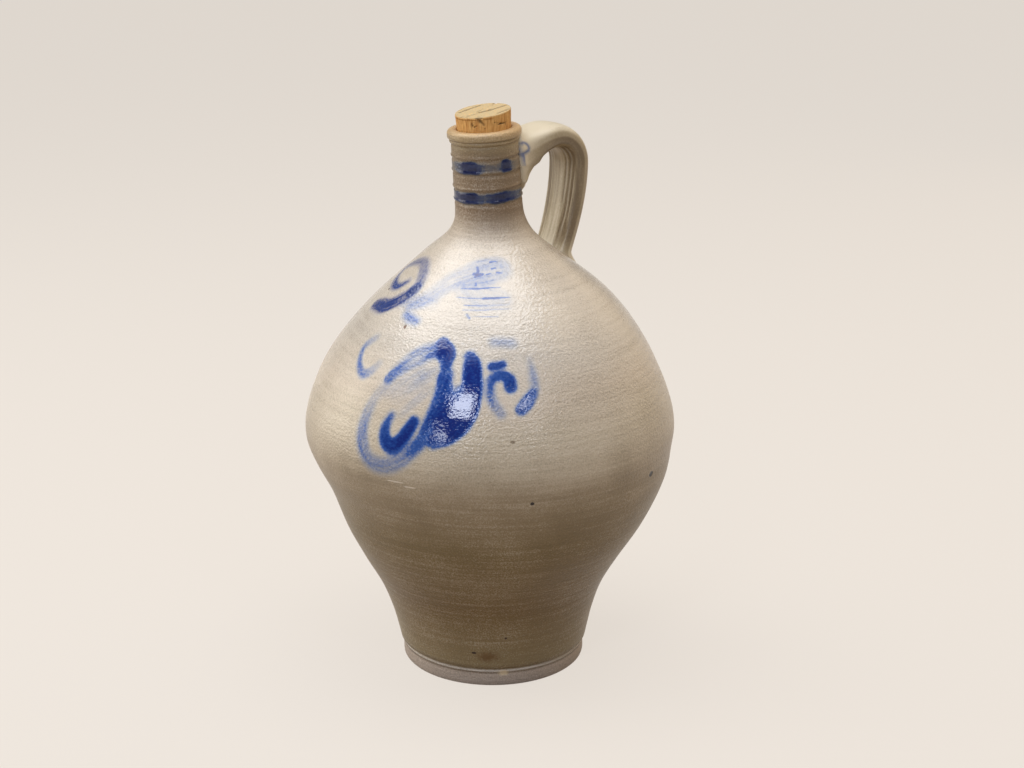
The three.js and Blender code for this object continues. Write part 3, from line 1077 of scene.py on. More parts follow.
    def _collar_rows(self) -> list[Numbers]:
        """Gives the collar: its stepped underside, its torus and the rim.

        Returns:
            Radius and height of each row.
        """
        under = self.rim - self.collar_height
        collar = self.neck_radius + self.collar_overhang
        step, soft = collar - self.collar_step, self.under_rounding
        rows = rounding(step, under, step - self.neck_radius, -soft, 5)[::-1]
        torus = under + self.collar_step_height
        notch = self.notch_half
        rows += [(step, torus - notch), (step - self.notch_depth, torus)]
        rows.append((step + self.torus_start, torus + notch))
        rows += rounding(collar, torus + notch, collar - step, -soft, 5)[::-1][1:]
        return rows + rounding(collar, self.rim, self.collar_rounding, self.collar_rounding, 8)

    def _inner_rows(self) -> list[Numbers]:
        """Gives the bore, the wall inside and the floor.

        Returns:
            Radius and height of each row.
        """
        rows = [(self.throat, self.bore_end), (self.throat, self.throat_end)]
        line = self.wall_line(self.inner_pitch)
        along = headings(line)
        inner = line + np.stack([-along[:, 1], along[:, 0]], axis=1) * self.wall
        low = self.floor + self.floor_corner + self.floor_clearance
        for r, h in inner[::-1]:
            if r > self.throat and low < h < rows[-1][1]:
                rows.append((r, h))
        rows += rounding(self.foot_radius - self.wall, self.floor, self.floor_corner, -self.floor_corner, 4)
        return [*rows, (0.0, self.floor)]

    def drift_at(self, height: np.ndarray) -> np.ndarray:
        """Gives the sideways shift of the wall's middle.

        Args:
            height: Heights before the neck leans.

        Returns:
            The shift at each height, in millimetres.
        """
        shares = np.array(self.drift)
        levels, shifts = shares[:, 0] * self.neck_base, shares[:, 1] * self.drift_reach
        height = np.asarray(height, float)
        above = np.clip(np.searchsorted(levels, height), 1, len(levels) - 1)
        share = ease((height - levels[above - 1]) / (levels[above] - levels[above - 1]))
        return shifts[above - 1] + share * (shifts[above] - shifts[above - 1])

    def lean_at(self, height: np.ndarray) -> np.ndarray:
        """Gives the neck's lean at heights, in radians."""
        share = ease((np.asarray(height, float) - self.lean_height) / self.lean_blend + 0.5)
        return math.radians(self.neck_lean) * share

    def settle(self, bearing: np.ndarray, height: np.ndarray) -> np.ndarray:
        """Finds places on the outside of the settled wall.

        Args:
            bearing: Degrees to the right of the front.
            height: Heights before the neck leans.

        Returns:
            Places in millimetres, one row each.
        """
        turn = np.radians(FRONT_BEARING + np.asarray(bearing, float))
        reach = self.radius_at(np.asarray(height, float))
        x, y = reach * np.cos(turn), reach * np.sin(turn)
        lean, shift = self.lean_at(height), self.drift_at(height)
        rise = height - self.lean_height
        way = math.radians(self.drift_bearing)
        settled = (
            x * np.cos(lean) - rise * np.sin(lean) + shift * math.cos(way), y + shift * math.sin(way),
            self.lean_height + x * np.sin(lean) + rise * np.cos(lean),
        )
        return np.stack(settled, axis=-1)

    def unsettle_neck(self, places: np.ndarray) -> tuple[np.ndarray, np.ndarray, np.ndarray]:
        """Finds where places on the leaning neck were on the upright one.

        Args:
            places: Places in millimetres.

        Returns:
            Bearings right of the front, heights and distances from the axis.
        """
        lean, way = math.radians(self.neck_lean), math.radians(self.drift_bearing)
        shift = float(self.drift_at(self.lean_height))
        x = places[:, 0] - shift * math.cos(way)
        y = places[:, 1] - shift * math.sin(way)
        rise = places[:, 2] - self.lean_height
        flat = x * math.cos(lean) + rise * math.sin(lean)
        height = self.lean_height - x * math.sin(lean) + rise * math.cos(lean)
        bearing = np.degrees(np.arctan2(y, flat)) - FRONT_BEARING
        return (bearing + 180) % 360 - 180, height, np.hypot(flat, y)

    def turning(self, finish: Material, columns: int) -> dict[str, object]:
        """Gives what the wheel's tree takes in for anything that stands on this body's axis.

        Args:
            finish: The material.
            columns: How many columns go round.

        Returns:
            Values for the tree's named inputs.
        """
        return {
            "Columns": columns, "Drift Bearing": math.radians(self.drift_bearing),
            "Lean Height": self.lean_height * MM, "Finish": finish,
        }

    def build(self, glaze: Material) -> Object:
        """Turns the vessel on the wheel.

        Args:
            glaze: The finish.

        Returns:
            The vessel.
        """
        rows = self.outline()
        height = rows[:, 1]
        guide = new_guide(
            self.name, rows[:, :2], drift=self.drift_at(height) * MM, lean=self.lean_at(height),
            outside=rows[:, 2], tilt=0.0,
        )
        front = {
            "Front Start": math.radians(FRONT_BEARING + self.front_start),
            "Front Arc": math.radians(self.front_arc), "Front Share": self.front_share,
        }
        return grow(guide, wheel_tree(), self.turning(glaze, self.columns) | front)


def wheel_tree() -> bpy.types.NodeTree:
    """Builds the tree that turns rows of radius and height into a thrown form.

    The guide has one point for each row, with the attributes drift, lean, outside and tilt. The front
    gets a larger share of the columns, so that brushwork there is fine.

    Returns:
        The tree.
    """
    tree, put, given = new_tree(
        "Thrown on the wheel",
        {
            "Columns": 96, "Front Start": 0.0, "Front Arc": math.pi, "Front Share": 0.5,
            "Drift Bearing": 0.0, "Lean Height": 0.0, "Ring Pitch": 4.5 * MM, "Ring Depth": 0.22 * MM,
            "Wobble Size": 70.0 * MM, "Wobble Depth": 0.9 * MM,
        },
    )
    names = ["drift", "lean", "outside", "tilt"]
    grid, across, read = lay_grid(put, given["Guide"], given["Columns"], names)
    radius, _, height = put("SeparateXYZ", read["place"]).outputs
    front = put("MapRange", across, 0.0, given["Front Share"], 0.0, given["Front Arc"])
    rest = put("Math SUBTRACT", 2 * math.pi, given["Front Arc"])
    back = put("MapRange", across, given["Front Share"], 1.0, 0.0, rest)
    turn = put("Math ADD", put("Math ADD", front, back), given["Front Start"])
    angles = (turn, read["lean"], given["Drift Bearing"])
    cosine, lean_cos, drift_cos = (put("Math COSINE", angle) for angle in angles)
    sine, lean_sin, drift_sin = (put("Math SINE", angle) for angle in angles)

    # Fingers leave rings, and the wall wavers. Both mostly cut in, so the form keeps its size.
    ring_place = put("CombineXYZ", cosine, sine, put("Math DIVIDE", height, given["Ring Pitch"]))
    flat = [put("Math MULTIPLY", radius, share) for share in (cosine, sine)]
    wobble_scale = put("Math DIVIDE", 1.0, given["Wobble Size"])
    proud = []
    for place, scale, detail, inward, depth in (
        (ring_place, 1.0, 2.0, 0.62, "Ring Depth"),
        (put("CombineXYZ", *flat, height), wobble_scale, 1.0, 0.66, "Wobble Depth"),
    ):
        wave = put("Math SUBTRACT", put("TexNoise", place, scale, Detail=detail), inward)
        proud.append(put("Math MULTIPLY", wave, put("Math MULTIPLY", given[depth], read["outside"])))
    reach = put("Math ADD", radius, put("Math ADD", *proud))
    x, y = (put("Math MULTIPLY", reach, share) for share in (cosine, sine))

    # The neck leans as a whole, and the wall's middle drifts sideways on its way up.
    height = put("Math ADD", height, put("Math MULTIPLY", x, read["tilt"]))
    rise = put("Math SUBTRACT", height, given["Lean Height"])
    shift_x, shift_y = (put("Math MULTIPLY", read["drift"], share) for share in (drift_cos, drift_sin))
    near = put("Math MULTIPLY_ADD", x, lean_cos, shift_x)
    lift = put("Math MULTIPLY_ADD", rise, lean_cos, given["Lean Height"])
    final = put(
        "CombineXYZ", put("Math SUBTRACT", near, put("Math MULTIPLY", rise, lean_sin)),
        put("Math ADD", y, shift_y), put("Math MULTIPLY_ADD", x, lean_sin, lift),
    )
    thrown = shape(put, grid, final, merge=0.004 * MM, kept={"outside": read["outside"]})
    smooth = put("GeometryNodeSetShadeSmooth", Geometry=thrown, Shade_Smooth=True)
    close_tree(put, smooth, given["Finish"])
    return tree


def bristles(run: np.ndarray, side: np.ndarray, seed: int) -> np.ndarray:
    """Gives the streaks that a brush's bristles leave along a stroke.

    Args:
        run: Millimetres along the stroke.
        side: Millimetres across it.
        seed: Number of the stroke.

    Returns:
        Values from 0 to 1.
    """
    count, length, pitch, shift = 64, 11.0, 1.3, (7, 31)
    table = np.random.default_rng(seed).random((count, count))
    x, y = run / length + shift[0], side / pitch + shift[1]
    i, j = np.floor(x).astype(int), np.floor(y).astype(int)
    u, v = ease(x - i), ease(y - j)
    near, far = (
        table[k % count, j % count] * (1 - v) + table[k % count, (j + 1) % count] * v for k in (i, i + 1)
    )
    return near * (1 - u) + far * u


def brush(places: np.ndarray, line: np.ndarray, stroke: Stroke, seed: int) -> np.ndarray:
    """Works out how much cobalt one stroke leaves at places.

    Args:
        places: Places in millimetres.
        line: The stroke's middle line, with columns x, y, z, width and load.
        stroke: The stroke.
        seed: Number of the stroke.

    Returns:
        The load at each place, from 0 to 1.
    """
    found = np.zeros(len(places))
    margin = line[:, 3].max() / 2 + stroke.bleed
    near = np.all((places > line[:, :3].min(0) - margin) & (places < line[:, :3].max(0) + margin), axis=1)
    here = places[near]
    if not len(here):
        return found
    best = np.full(len(here), np.inf)
    run, side, width, load = (np.zeros(len(here)) for _ in range(4))
    outward = np.array([here[:, 0].mean(), here[:, 1].mean(), 0.0])
    length = 0.0
    for start, end in zip(line[:-1], line[1:]):
        along = end[:3] - start[:3]
        reach = float(np.linalg.norm(along))
        share = np.clip((here - start[:3]) @ along / reach**2, 0, 1)
        offset = here - start[:3] - share[:, None] * along
        away = np.linalg.norm(offset, axis=1)
        closer = away < best
        best = np.where(closer, away, best)
        sign = np.sign(offset @ np.cross(along, outward))
        run = np.where(closer, length + share * reach, run)
        side = np.where(closer, away * sign, side)
        width = np.where(closer, start[3] + share * (end[3] - start[3]), width)
        load = np.where(closer, start[4] + share * (end[4] - start[4]), load)
        length += reach
    cover = ease((width / 2 - best) / stroke.bleed + 0.5)
    streaks = 1 - stroke.streak * bristles(run, side, seed)
    found[near] = np.clip(load * cover * streaks, 0, 1)
    return found


@dataclass
class Brushwork:
    """The cobalt on the vessel and on the root of the strap.

    The dab and the run at the root have x, y, z, width and load at each mark.
    """

    strokes: tuple[Stroke, ...] = (*WASHES, *NUMERAL, *LEAF, *SCROLLS)
    bands: tuple[NeckBand, ...] = NECK_BANDS
    stroke_step: float = 1.6
    violet_load: float = 0.3
    band_bleed: float = 2.4
    band_waver: float = 1.2
    waver_pace: float = 0.9
    waver_seed: int = 7
    thin_band: float = 0.6
    band_streak: float = 0.35
    streak_pace: Numbers = (0.5, 1.6)
    band_seed: int = 40
    bore_margin: float = 3.0
    root_dab: Marks = (
        (12.2, -18.0, 359.4, 1.5, 0.8), (14.9, -17.3, 359.8, 1.7, 0.9), (18.5, -16.2, 357.9, 1.9, 0.9),
        (19.6, -16.4, 355.2, 2.0, 0.95), (18.4, -16.8, 352.7, 2.1, 1.0), (14.6, -18.3, 351.8, 2.0, 1.0),
        (12.2, -18.4, 353.3, 1.7, 0.8), (11.6, -18.3, 356.0, 1.5, 0.8), (12.4, -18.3, 358.5, 1.4, 0.7),
    )
    root_run: Marks = (
        (15.2, -18.0, 351.6, 1.8, 0.9), (15.2, -18.2, 349.0, 1.7, 0.8), (14.5, -18.3, 345.5, 1.3, 0.5),
    )
    root_stroke: Stroke = Stroke((), 0.25, 1.9)
    root_step: float = 0.7
    root_snap: float = 4.0
    root_seed: int = 90

    def lay(self, vessel: Object, strap: Object, body: ThrownBody) -> None:
        """Paints both pieces.

        Args:
            vessel: The thrown body.
            strap: The handle.
            body: The vessel's sizes.
        """
        for piece in (vessel, strap):
            places = points_of(piece)
            clear = np.ones(len(places))
            if piece is vessel:
                store(piece.data, "violet", self._paint_wall(places, clear, body))
            for number, marks in enumerate((self.root_dab, self.root_run)):
                guide = np.array(marks)
                guide[:, :3] = self._snap(guide[:, :3], places)
                line = smooth_line(guide, self.root_step)
                clear *= 1 - brush(places, line, self.root_stroke, self.root_seed + number)
            store(piece.data, "cobalt", 1 - clear)

    def _paint_wall(self, places: np.ndarray, clear: np.ndarray, body: ThrownBody) -> np.ndarray:
        """Paints the strokes and the neck bands of the vessel.

        Args:
            places: The vessel's points in millimetres.
            clear: The share of each point left bare, which this lowers.
            body: The vessel's sizes.

        Returns:
            How violet the cobalt is at each point.
        """
        violet = np.zeros(len(places))
        for number, stroke in enumerate(self.strokes):
            marks = np.array(stroke.marks, float)
            line = np.c_[body.settle(marks[:, 0], marks[:, 1]), marks[:, 2:]]
            laid = brush(places, smooth_line(line, self.stroke_step), stroke, number)
            violet = np.maximum(violet, stroke.violet * ease(laid / self.violet_load))
            clear *= 1 - laid
        bearing, height, reach = body.unsettle_neck(places)
        on_neck = (reach > body.throat + self.bore_margin) & (height > body.neck_base)
        waver = bristles(bearing * self.waver_pace, np.zeros(len(places)), self.waver_seed) - 0.5
        along, up = bearing * self.streak_pace[0], height * self.streak_pace[1]
        for number, band in enumerate(self.bands):
            load = np.interp(bearing, *np.array(band.loads, float).T)
            half = (band.high - band.low) / 2
            off = np.abs(height - (band.high + band.low) / 2 + waver * self.band_waver)
            full = self.thin_band + (1 - self.thin_band) * load
            cover = ease((half * full - off) / self.band_bleed + 0.5)
            streaks = 1 - self.band_streak * bristles(along, up, self.band_seed + number)
            clear *= 1 - np.where(on_neck, cover * load * streaks, 0.0)
        return violet

    def _snap(self, guide: np.ndarray, places: np.ndarray) -> np.ndarray:
        """Moves guide points to the nearest points of a surface, where that is near enough.

        Args:
            guide: The points to move.
            places: The surface's points.

        Returns:
            The guide points' new places.
        """
        gaps = np.linalg.norm(guide[:, None] - places[None], axis=2)
        nearest = places[gaps.argmin(axis=1)]
        return np.where(gaps.min(axis=1)[:, None] < self.root_snap, nearest, guide)


# The strap's section: how far across it each point is, and how high the clay stands there, as shares.
CRESTS = (
    (0.0, 0.5), (0.1, 0.5), (0.2, 0.38), (0.29, 0.42), (0.37, 0.76), (0.5, 0.86), (0.66, 0.82),
    (0.78, 0.68), (0.855, 0.08), (0.92, 0.85), (1.0, 0.9),
)


@dataclass
class PulledStrap:
    """The handle: a strap of clay pulled by wet fingers, luted to the neck and the shoulder.

    The leads of the bow, the ankle and the tail are shares of the drop from the bow to the ankle.
    """

    name: str = "pulled_strap"
    width: float = 30.0
    spread: float = 3.0
    thickness: float = 13.4
    root_gain: float = 9.0
    root_fade: float = 28.0
    web_depth: float = 12.5
    web_fade: float = 11.0
    root_stub: float = 6.0
    root_drop: float = 17.4
    root_sink: float = 5.0
    root_lead: Numbers = (10.0, 1.6)
    root_end: float = 3.0
    crown_drop: float = 10.2
    crown_lead: float = 9.0
    reach: float = 69.4
    bend: float = 20.5
    foot_drop: float = 30.0
    tail_drop: float = 48.0
    ankle_stand: float = 3.0
    tail_sink: float = 1.8
    bow_lead: Numbers = (0.0, -0.38)
    ankle_lead: Numbers = (0.1, 0.24)
    tail_lead: Numbers = (-0.04, -0.12)
    tail_thickness: float = 3.2
    lug: float = 1.8
    lug_run: float = 12.0
    lug_reach: float = 2.6
    tail_width: float = 19.0
    tongue: float = 11.0
    station_step: float = 1.15
    arc_points: int = 40
    around: int = 128
    tail_luting: float = 0.3

    def route(self, body: ThrownBody) -> tuple[np.ndarray, float]:
        """Walks the strap's middle line in its own plane.

        Args:
            body: The vessel that carries it.

        Returns:
            Points of x and height in even steps, and the share of the line where the tail starts.
        """
        crown = np.array((self.reach - self.bend, body.rim - self.crown_drop))
        bow = np.array((self.reach, crown[1] - self.bend))
        root = np.array((body.neck_radius - self.root_sink, body.rim - self.root_drop))
        wall = body.wall_line(0.5)
        along = headings(wall)
        landings = []
        for drop, stand in ((self.foot_drop, self.ankle_stand), (self.tail_drop, -self.tail_sink)):
            i = np.argmin(np.abs(wall[:, 1] - (body.neck_base - drop)))
            landings.append(wall[i] + along[i][::-1] * (stand, -stand))
        ankle, tail = landings
        drop = bow[1] - ankle[1]
        lead = np.array(self.root_lead)
        stub = root - lead / np.linalg.norm(lead) * self.root_stub
        turns = np.linspace(math.pi / 2, 0, self.arc_points + 1)[1:]
        over = [root, root + lead, crown - (self.crown_lead, 0), crown]
        down = [bow, bow + drop * np.array(self.bow_lead), ankle + drop * np.array(self.ankle_lead), ankle]
        out = [ankle, ankle + drop * np.array(self.tail_lead), tail]
        arc = np.stack([crown[0] + self.bend * np.cos(turns), bow[1] + self.bend * np.sin(turns)], 1)
        upper = np.vstack([stub, root, bezier(over, self.arc_points), arc, bezier(down, self.arc_points)])
        whole = np.vstack([upper, bezier(out, self.arc_points // 2)])
        run = travelled(whole)
        return walk(whole, run, int(run[-1] / self.station_step) + 1), run[len(upper) - 1] / run[-1]

    def build(self, body: ThrownBody, vessel: Object, glaze: Material) -> Object:
        """Pulls the strap along its route.

        Args:
            body: The vessel's sizes.
            vessel: The vessel that the strap is luted to.
            glaze: The finish.

        Returns:
            The handle.
        """
        line, tail_start = self.route(body)
        share = np.linspace(0, 1, len(line))
        length = self.station_step * (len(line) - 1)
        run = np.maximum(share * length - self.root_stub, 0)
        thin = ease((share - tail_start) / (1 - tail_start))
        thick = self.thickness + self.root_gain * np.exp(-run / self.root_fade)
        thick = thick + (self.tail_thickness - thick) * thin
        width = self.width + self.spread * np.sin(math.pi * np.minimum(share / tail_start, 1))
        width = width + (self.tail_width - width) * thin**2
        web = self.web_depth * np.exp(-run / self.web_fade)
        web = web + self.lug * np.exp(-(((run - self.lug_run) / self.lug_reach) ** 2))
        tongue, closed = (
            np.sqrt(np.clip(1 - np.clip(1 - gap / reach, 0, 1) ** 2, 0, 1))
            for gap, reach in (((1 - share) * length, self.tongue), (share * length, self.root_end))
        )
        ends = tongue * closed
        along = headings(line)
        strap = new_guide(
            self.name, line, away=np.stack([-along[:, 1], np.zeros(len(line)), along[:, 0]], axis=1),
            half_out=thick / 2 * ends * MM, half_in=(thick / 2 + web) * ends * MM,
            half_width=width / 2 * ends * MM, grooved=(1 - thin) * closed,
            luting=np.where(share < 0.5, 1.0, self.tail_luting),
        )
        return grow(strap, strap_tree(), {"Around": self.around, "Body": vessel, "Finish": glaze})


def strap_tree() -> bpy.types.NodeTree:
    """Builds the tree that draws a grooved strap along its stations.

    The guide has one point for each station, with the attributes away, half_out, half_in, half_width,
    grooved and luting. Close to the body the strap flares, as luted clay is smeared on.

    Returns:
        The tree.
    """
    tree, put, given = new_tree(
        "Strap pulled by hand",
        {
            "Around": 64, "Squareness": 0.7, "Groove Depth": 0.95 * MM, "Finger Length": 45.0 * MM,
            "Luting": 4.6 * MM, "Luting Reach": 3.4 * MM, "Body": "Object",
        },
    )
    names = ["half_out", "half_in", "half_width", "grooved", "luting", "away"]
    grid, around, read = lay_grid(put, given["Guide"], given["Around"], names)
    turn = put("Math MULTIPLY", around, 2 * math.pi)
    shares = []
    for operation in ("COSINE", "SINE"):
        plain = put(f"Math {operation}", turn)
        size = put("Math POWER", put("Math ABSOLUTE", plain), given["Squareness"])
        shares.append(put("Math MULTIPLY", size, put("Math SIGN", plain)))
    across, out = shares
    inner = put("Math GREATER_THAN", 0.0, out)
    more = put("Math SUBTRACT", read["half_in"], read["half_out"])
    half = put("Math MULTIPLY_ADD", inner, more, read["half_out"])

    # Each finger leaves a groove, and noise that is drawn out along the strap breaks up its crests.
    # The noise is shifted far between the strap's edges and between its faces, so they differ.
    far, ridge_edge, ridge_swing = 9.0, (0.36, 0.64), (0.5, -0.28)
    drawn = put("VectorMath SCALE", read["place"], put("Math DIVIDE", 1.0, given["Finger Length"]))
    sideways, face = (put("Math MULTIPLY", share, far) for share in (across, inner))
    drawn = put("VectorMath ADD", drawn, put("CombineXYZ", Y=sideways, Z=face))
    ridges = put("TexNoise", drawn, 1.0, Detail=2.5)
    ridges = put("MapRange", ridges, *ridge_edge, interpolation_type="SMOOTHSTEP")
    section = put("FloatCurve", Value=put("Math MULTIPLY_ADD", across, 0.5, 0.5))
    fill_curve(section, CRESTS)
    crest = put("Math MULTIPLY_ADD", ridges, *ridge_swing)
    crest = put("Math ADD", crest, section, use_clamp=True)

    # The edges have no grooves, and the outer face has shallower ones than the inner face.
    face_edge, face_depth = (0.35, 0.8), (0.82, 0.18)
    facing = put("MapRange", put("Math ABSOLUTE", out), *face_edge)
    dent = put("Math SUBTRACT", 1.0, crest)
    face_share = put("Math MULTIPLY_ADD", inner, *face_depth)
    for share in (given["Groove Depth"], read["grooved"], facing, face_share):
        dent = put("Math MULTIPLY", dent, share)
    stand = put("Math MAXIMUM", put("Math SUBTRACT", half, dent), 0.0)
    stand = put("Math MULTIPLY", stand, out)
    final = put("VectorMath ADD", read["place"], put("VectorMath SCALE", read["away"], stand))
    reach = put("Math MULTIPLY", read["half_width"], across)
    final = put("VectorMath ADD", final, put("CombineXYZ", Y=reach))

    # Painted highlight makes crests pale and painted shade makes grooves brown, the inner face and edges
    # darker.
    # The inner face has a wider swing. Each pair has a factor and what is added.
    crest_tone, swing, inner_shade, edge_shade = 0.8, (0.35, 0.3), (-0.56, 1.0), (0.46, 0.54)
    swing, inner_shade = (put("Math MULTIPLY_ADD", inner, *pair) for pair in (swing, inner_shade))
    tone = put("Math MULTIPLY_ADD", put("Math SUBTRACT", crest, crest_tone), swing, inner_shade)
    tone = put("Math MULTIPLY", tone, put("Math MULTIPLY_ADD", facing, *edge_shade))
    kept = {"crest": tone, "luting": read["luting"]}
    drawn_out = shape(put, grid, final, merge=0.01 * MM, kept=kept)

    # Clay smeared on by a thumb rises towards the wall that it is luted to, and painted light makes it paler
    # there.
    lit_power = 0.33
    wall = put("GeometryNodeObjectInfo", given["Body"])
    near = put("GeometryNodeProximity", wall.outputs["Geometry"], target_element="FACES")
    fade = put("Math DIVIDE", near.outputs["Distance"], given["Luting Reach"])
    flare = put("Math EXPONENT", put("Math MULTIPLY", fade, -1.0))
    share = put("GeometryNodeInputNamedAttribute", "luting")
    flare = put("Math MULTIPLY", flare, share)
    pale = put("Math POWER", flare, lit_power)
    luted = put("GeometryNodeStoreNamedAttribute", Geometry=drawn_out, Name="luted", Value=pale)
    thick = put("Math MULTIPLY", flare, given["Luting"])
    smear = put("VectorMath SCALE", put("GeometryNodeInputNormal"), thick)
    luted = put("GeometryNodeSetPosition", Geometry=luted, Offset=smear)
    smooth = put("GeometryNodeSetShadeSmooth", Geometry=luted, Shade_Smooth=True)
    close_tree(put, smooth, given["Finish"])
    return tree


@dataclass(frozen=True)
class Pore:
    """A pore that was cut open: its middle line in the plug's own frame, its width and its darkness.

    The points have the bearing and the distance from the axis, or on the side the bearing and the drop
    below the top, in degrees and millimetres.
    """

    points: Curve
    width: float
    load: float = 0.9
    on_side: bool = False


PORES = (
    Pore(((-95.5, 15.4), (-134.0, 11.8), (-172.1, 14.3)), 1.6, 1.0),
    Pore(((-26.4, 5.2), (73.4, 4.9)), 2.4, 1.0), Pore(((73.4, 4.9), (113.8, 15.7)), 1.7, 1.0),
    Pore(((39.7, 15.0), (77.4, 17.5)), 1.5, 0.95), Pore(((-39.3, 14.5), (-28.9, 8.0)), 0.8, 0.6),
    Pore(((-13.4, 1.4), (-8.5, 2.8), (-5.5, 4.4)), 1.0, 0.8, True),
    Pore(((-6.5, 2.6), (-2.0, 4.4), (2.1, 6.2)), 1.3, 0.9, True),
    Pore(((-10.0, 1.0), (-2.0, 1.7)), 0.8, 0.8, True), Pore(((-23.9, 6.0), (-24.7, 8.4)), 1.0, 0.8, True),
    Pore(((78.6, 5.3), (74.5, 8.3)), 1.1, 0.9, True), Pore(((55.0, 6.4), (53.3, 7.9)), 1.2, 0.9, True),
)


@dataclass
class PunchedCork:
    """The stopper: a tapered plug with softened ends and a top cut a little askew."""

    name: str = "punched_cork"
    top_radius: float = 18.3
    bottom_radius: float = 15.1
    length: float = 46.0
    stand_out: float = 10.8
    top_slant: float = 4.5
    softening: float = 1.1
    top_softening: float = 0.88
    base_row: float = 0.6
    first_row: float = 4.0
    shown_margin: float = 2.0
    hidden_pitch: float = 3.0
    shown_pitch: float = 0.55
    top_rows: int = 32
    cut_drop: float = 0.9
    cut_blend: float = 0.8
    columns: int = 200
    pores: tuple[Pore, ...] = PORES
    pore_stroke: Stroke = Stroke((), 0.35, 0.9)
    pore_step: float = 0.6
    pore_seed: int = 60

    @property
    def slope(self) -> float:
        """How far the cut top rises for each millimetre across."""
        return math.tan(math.radians(self.top_slant))

    def build(self, body: ThrownBody, bark: Material) -> Object:
        """Turns the plug and opens its pores.

        Args:
            body: The vessel whose neck holds it.
            bark: The finish.

        Returns:
            The stopper.
        """
        low, top = body.rim + self.stand_out - self.length, self.length
        rows = [(0.0, 0.0), (self.bottom_radius * self.base_row, 0.0)]
        rows += rounding(self.bottom_radius, 0.0, self.softening, -self.softening, 4)[::-1]
        shown = top - self.stand_out - self.shown_margin
        hidden = np.arange(self.first_row, shown, self.hidden_pitch)
        for height in (*hidden, *np.arange(shown, top - self.softening, self.shown_pitch)):
            share = height / top
            rows.append((self.bottom_radius + share * (self.top_radius - self.bottom_radius), height))
        rows += rounding(self.top_radius, top, self.top_softening, self.top_softening, 5)
        rows += [(r, top) for r in np.linspace(self.top_radius - self.softening, 0, self.top_rows)[1:]]
        rows = np.array(rows)
        tilt = np.where(rows[:, 1] > top - 2 * self.softening, self.slope, 0.0)
        plug = new_guide(
            self.name, rows + (0, low), drift=float(body.drift_at(body.lean_height)) * MM,
            lean=math.radians(body.neck_lean), outside=0.0, tilt=tilt,
        )
        halves = {"Front Arc": math.pi, "Front Share": 0.5}
        grow(plug, wheel_tree(), body.turning(bark, self.columns) | halves)
        places = points_of(plug)
        store(plug.data, "tone", self._cut_share(places, body))
        store(plug.data, "opened", self._opened(places, body))
        return grow(plug, pore_tree(), {"Finish": bark})

    def _opened(self, places: np.ndarray, body: ThrownBody) -> np.ndarray:
        """Tells how far each place lies inside the pores seen from the front.

        Args:
            places: Places in millimetres.
            body: The vessel whose neck holds the plug.

        Returns:
            Values from 0 to 1.
        """
        bearing, height, reach = body.unsettle_neck(places)
        turn = np.radians(bearing)
        here = np.stack([reach * np.cos(turn), reach * np.sin(turn), height], axis=1)
        top = body.rim + self.stand_out
        front = math.radians(FRONT_BEARING)
        clear = np.ones(len(here))
        for number, pore in enumerate(self.pores):
            marks = []
            for bearing, size in pore.points:
                out, drop = (self.top_radius, size) if pore.on_side else (size, 0.0)
                turn = math.radians(bearing)
                marks.append((out * math.cos(turn), out * math.sin(turn), top - drop, pore.width, pore.load))
            line = smooth_line(np.array(marks), self.pore_step)
            if not pore.on_side:
                flat = line[:, 0] * math.cos(front) - line[:, 1] * math.sin(front)
                line[:, 2] = top + flat * self.slope
            clear *= 1 - brush(here, line, self.pore_stroke, self.pore_seed + number)
        return 1 - clear

    def _cut_share(self, places: np.ndarray, body: ThrownBody) -> np.ndarray:
        """Tells the cut top from the side.

        Args:
            places: Places in millimetres.
            body: The vessel whose neck holds the plug.

        Returns:
            Values from 0 on the side to 1 on the top.
        """
        lean = math.radians(body.neck_lean)
        x, z = places[:, 0], places[:, 2] - body.lean_height
        rise = z * math.cos(lean) - x * math.sin(lean)
        beside = x * math.cos(lean) + z * math.sin(lean)
        level = body.rim + self.stand_out - body.lean_height + beside * self.slope
        return ease((rise - level + self.cut_drop) / self.cut_blend)


def pore_tree() -> bpy.types.NodeTree:
    """Builds the tree that opens a cork's woody pores, which all run one way across it.

    Returns:
        The tree.
    """
    tree, put, given = new_tree(
        "Pores of bark",
        {
            "Pore Bearing": math.radians(6.0), "Pore Length": 14.0 * MM, "Pore Width": 2.0 * MM,
            "Pore Depth": 0.9 * MM, "Roughness": 0.3 * MM, "Roughness Size": 2.2 * MM,
        },
    )
    pore_edge, rough_level = (0.63, 0.7), 0.6
    here = put("GeometryNodeInputPosition")
    bearing = put("Math MULTIPLY", given["Pore Bearing"], -1.0)
    turned = put("VectorRotate", Vector=here, Angle=bearing, rotation_type="Z_AXIS")
    sizes = (given[name] for name in ("Pore Length", "Pore Width", "Pore Width"))
    scale = put("CombineXYZ", *(put("Math DIVIDE", 1.0, size) for size in sizes))
    bark = put("TexNoise", put("VectorMath MULTIPLY", turned, scale), 1.0, Detail=3.0)
    pore = put("MapRange", bark, *pore_edge, interpolation_type="SMOOTHSTEP")
    opened = put("GeometryNodeInputNamedAttribute", "opened")
    pore = put("Math MAXIMUM", pore, opened)

    # Roughness and pores only cut in, so the plug keeps its size.
    rough = put("TexNoise", here, put("Math DIVIDE", 1.0, given["Roughness Size"]), Detail=3.0)
    rough = put("Math MULTIPLY", put("Math SUBTRACT", rough, rough_level), given["Roughness"])
    move = put("Math SUBTRACT", rough, put("Math MULTIPLY", pore, given["Pore Depth"]))
    move = put("Math MINIMUM", move, 0.0)
    kept = put("GeometryNodeStoreNamedAttribute", Geometry=given["Guide"], Name="pore", Value=pore)
    offset = put("VectorMath SCALE", put("GeometryNodeInputNormal"), move)
    close_tree(put, put("GeometryNodeSetPosition", Geometry=kept, Offset=offset), given["Finish"])
    return tree


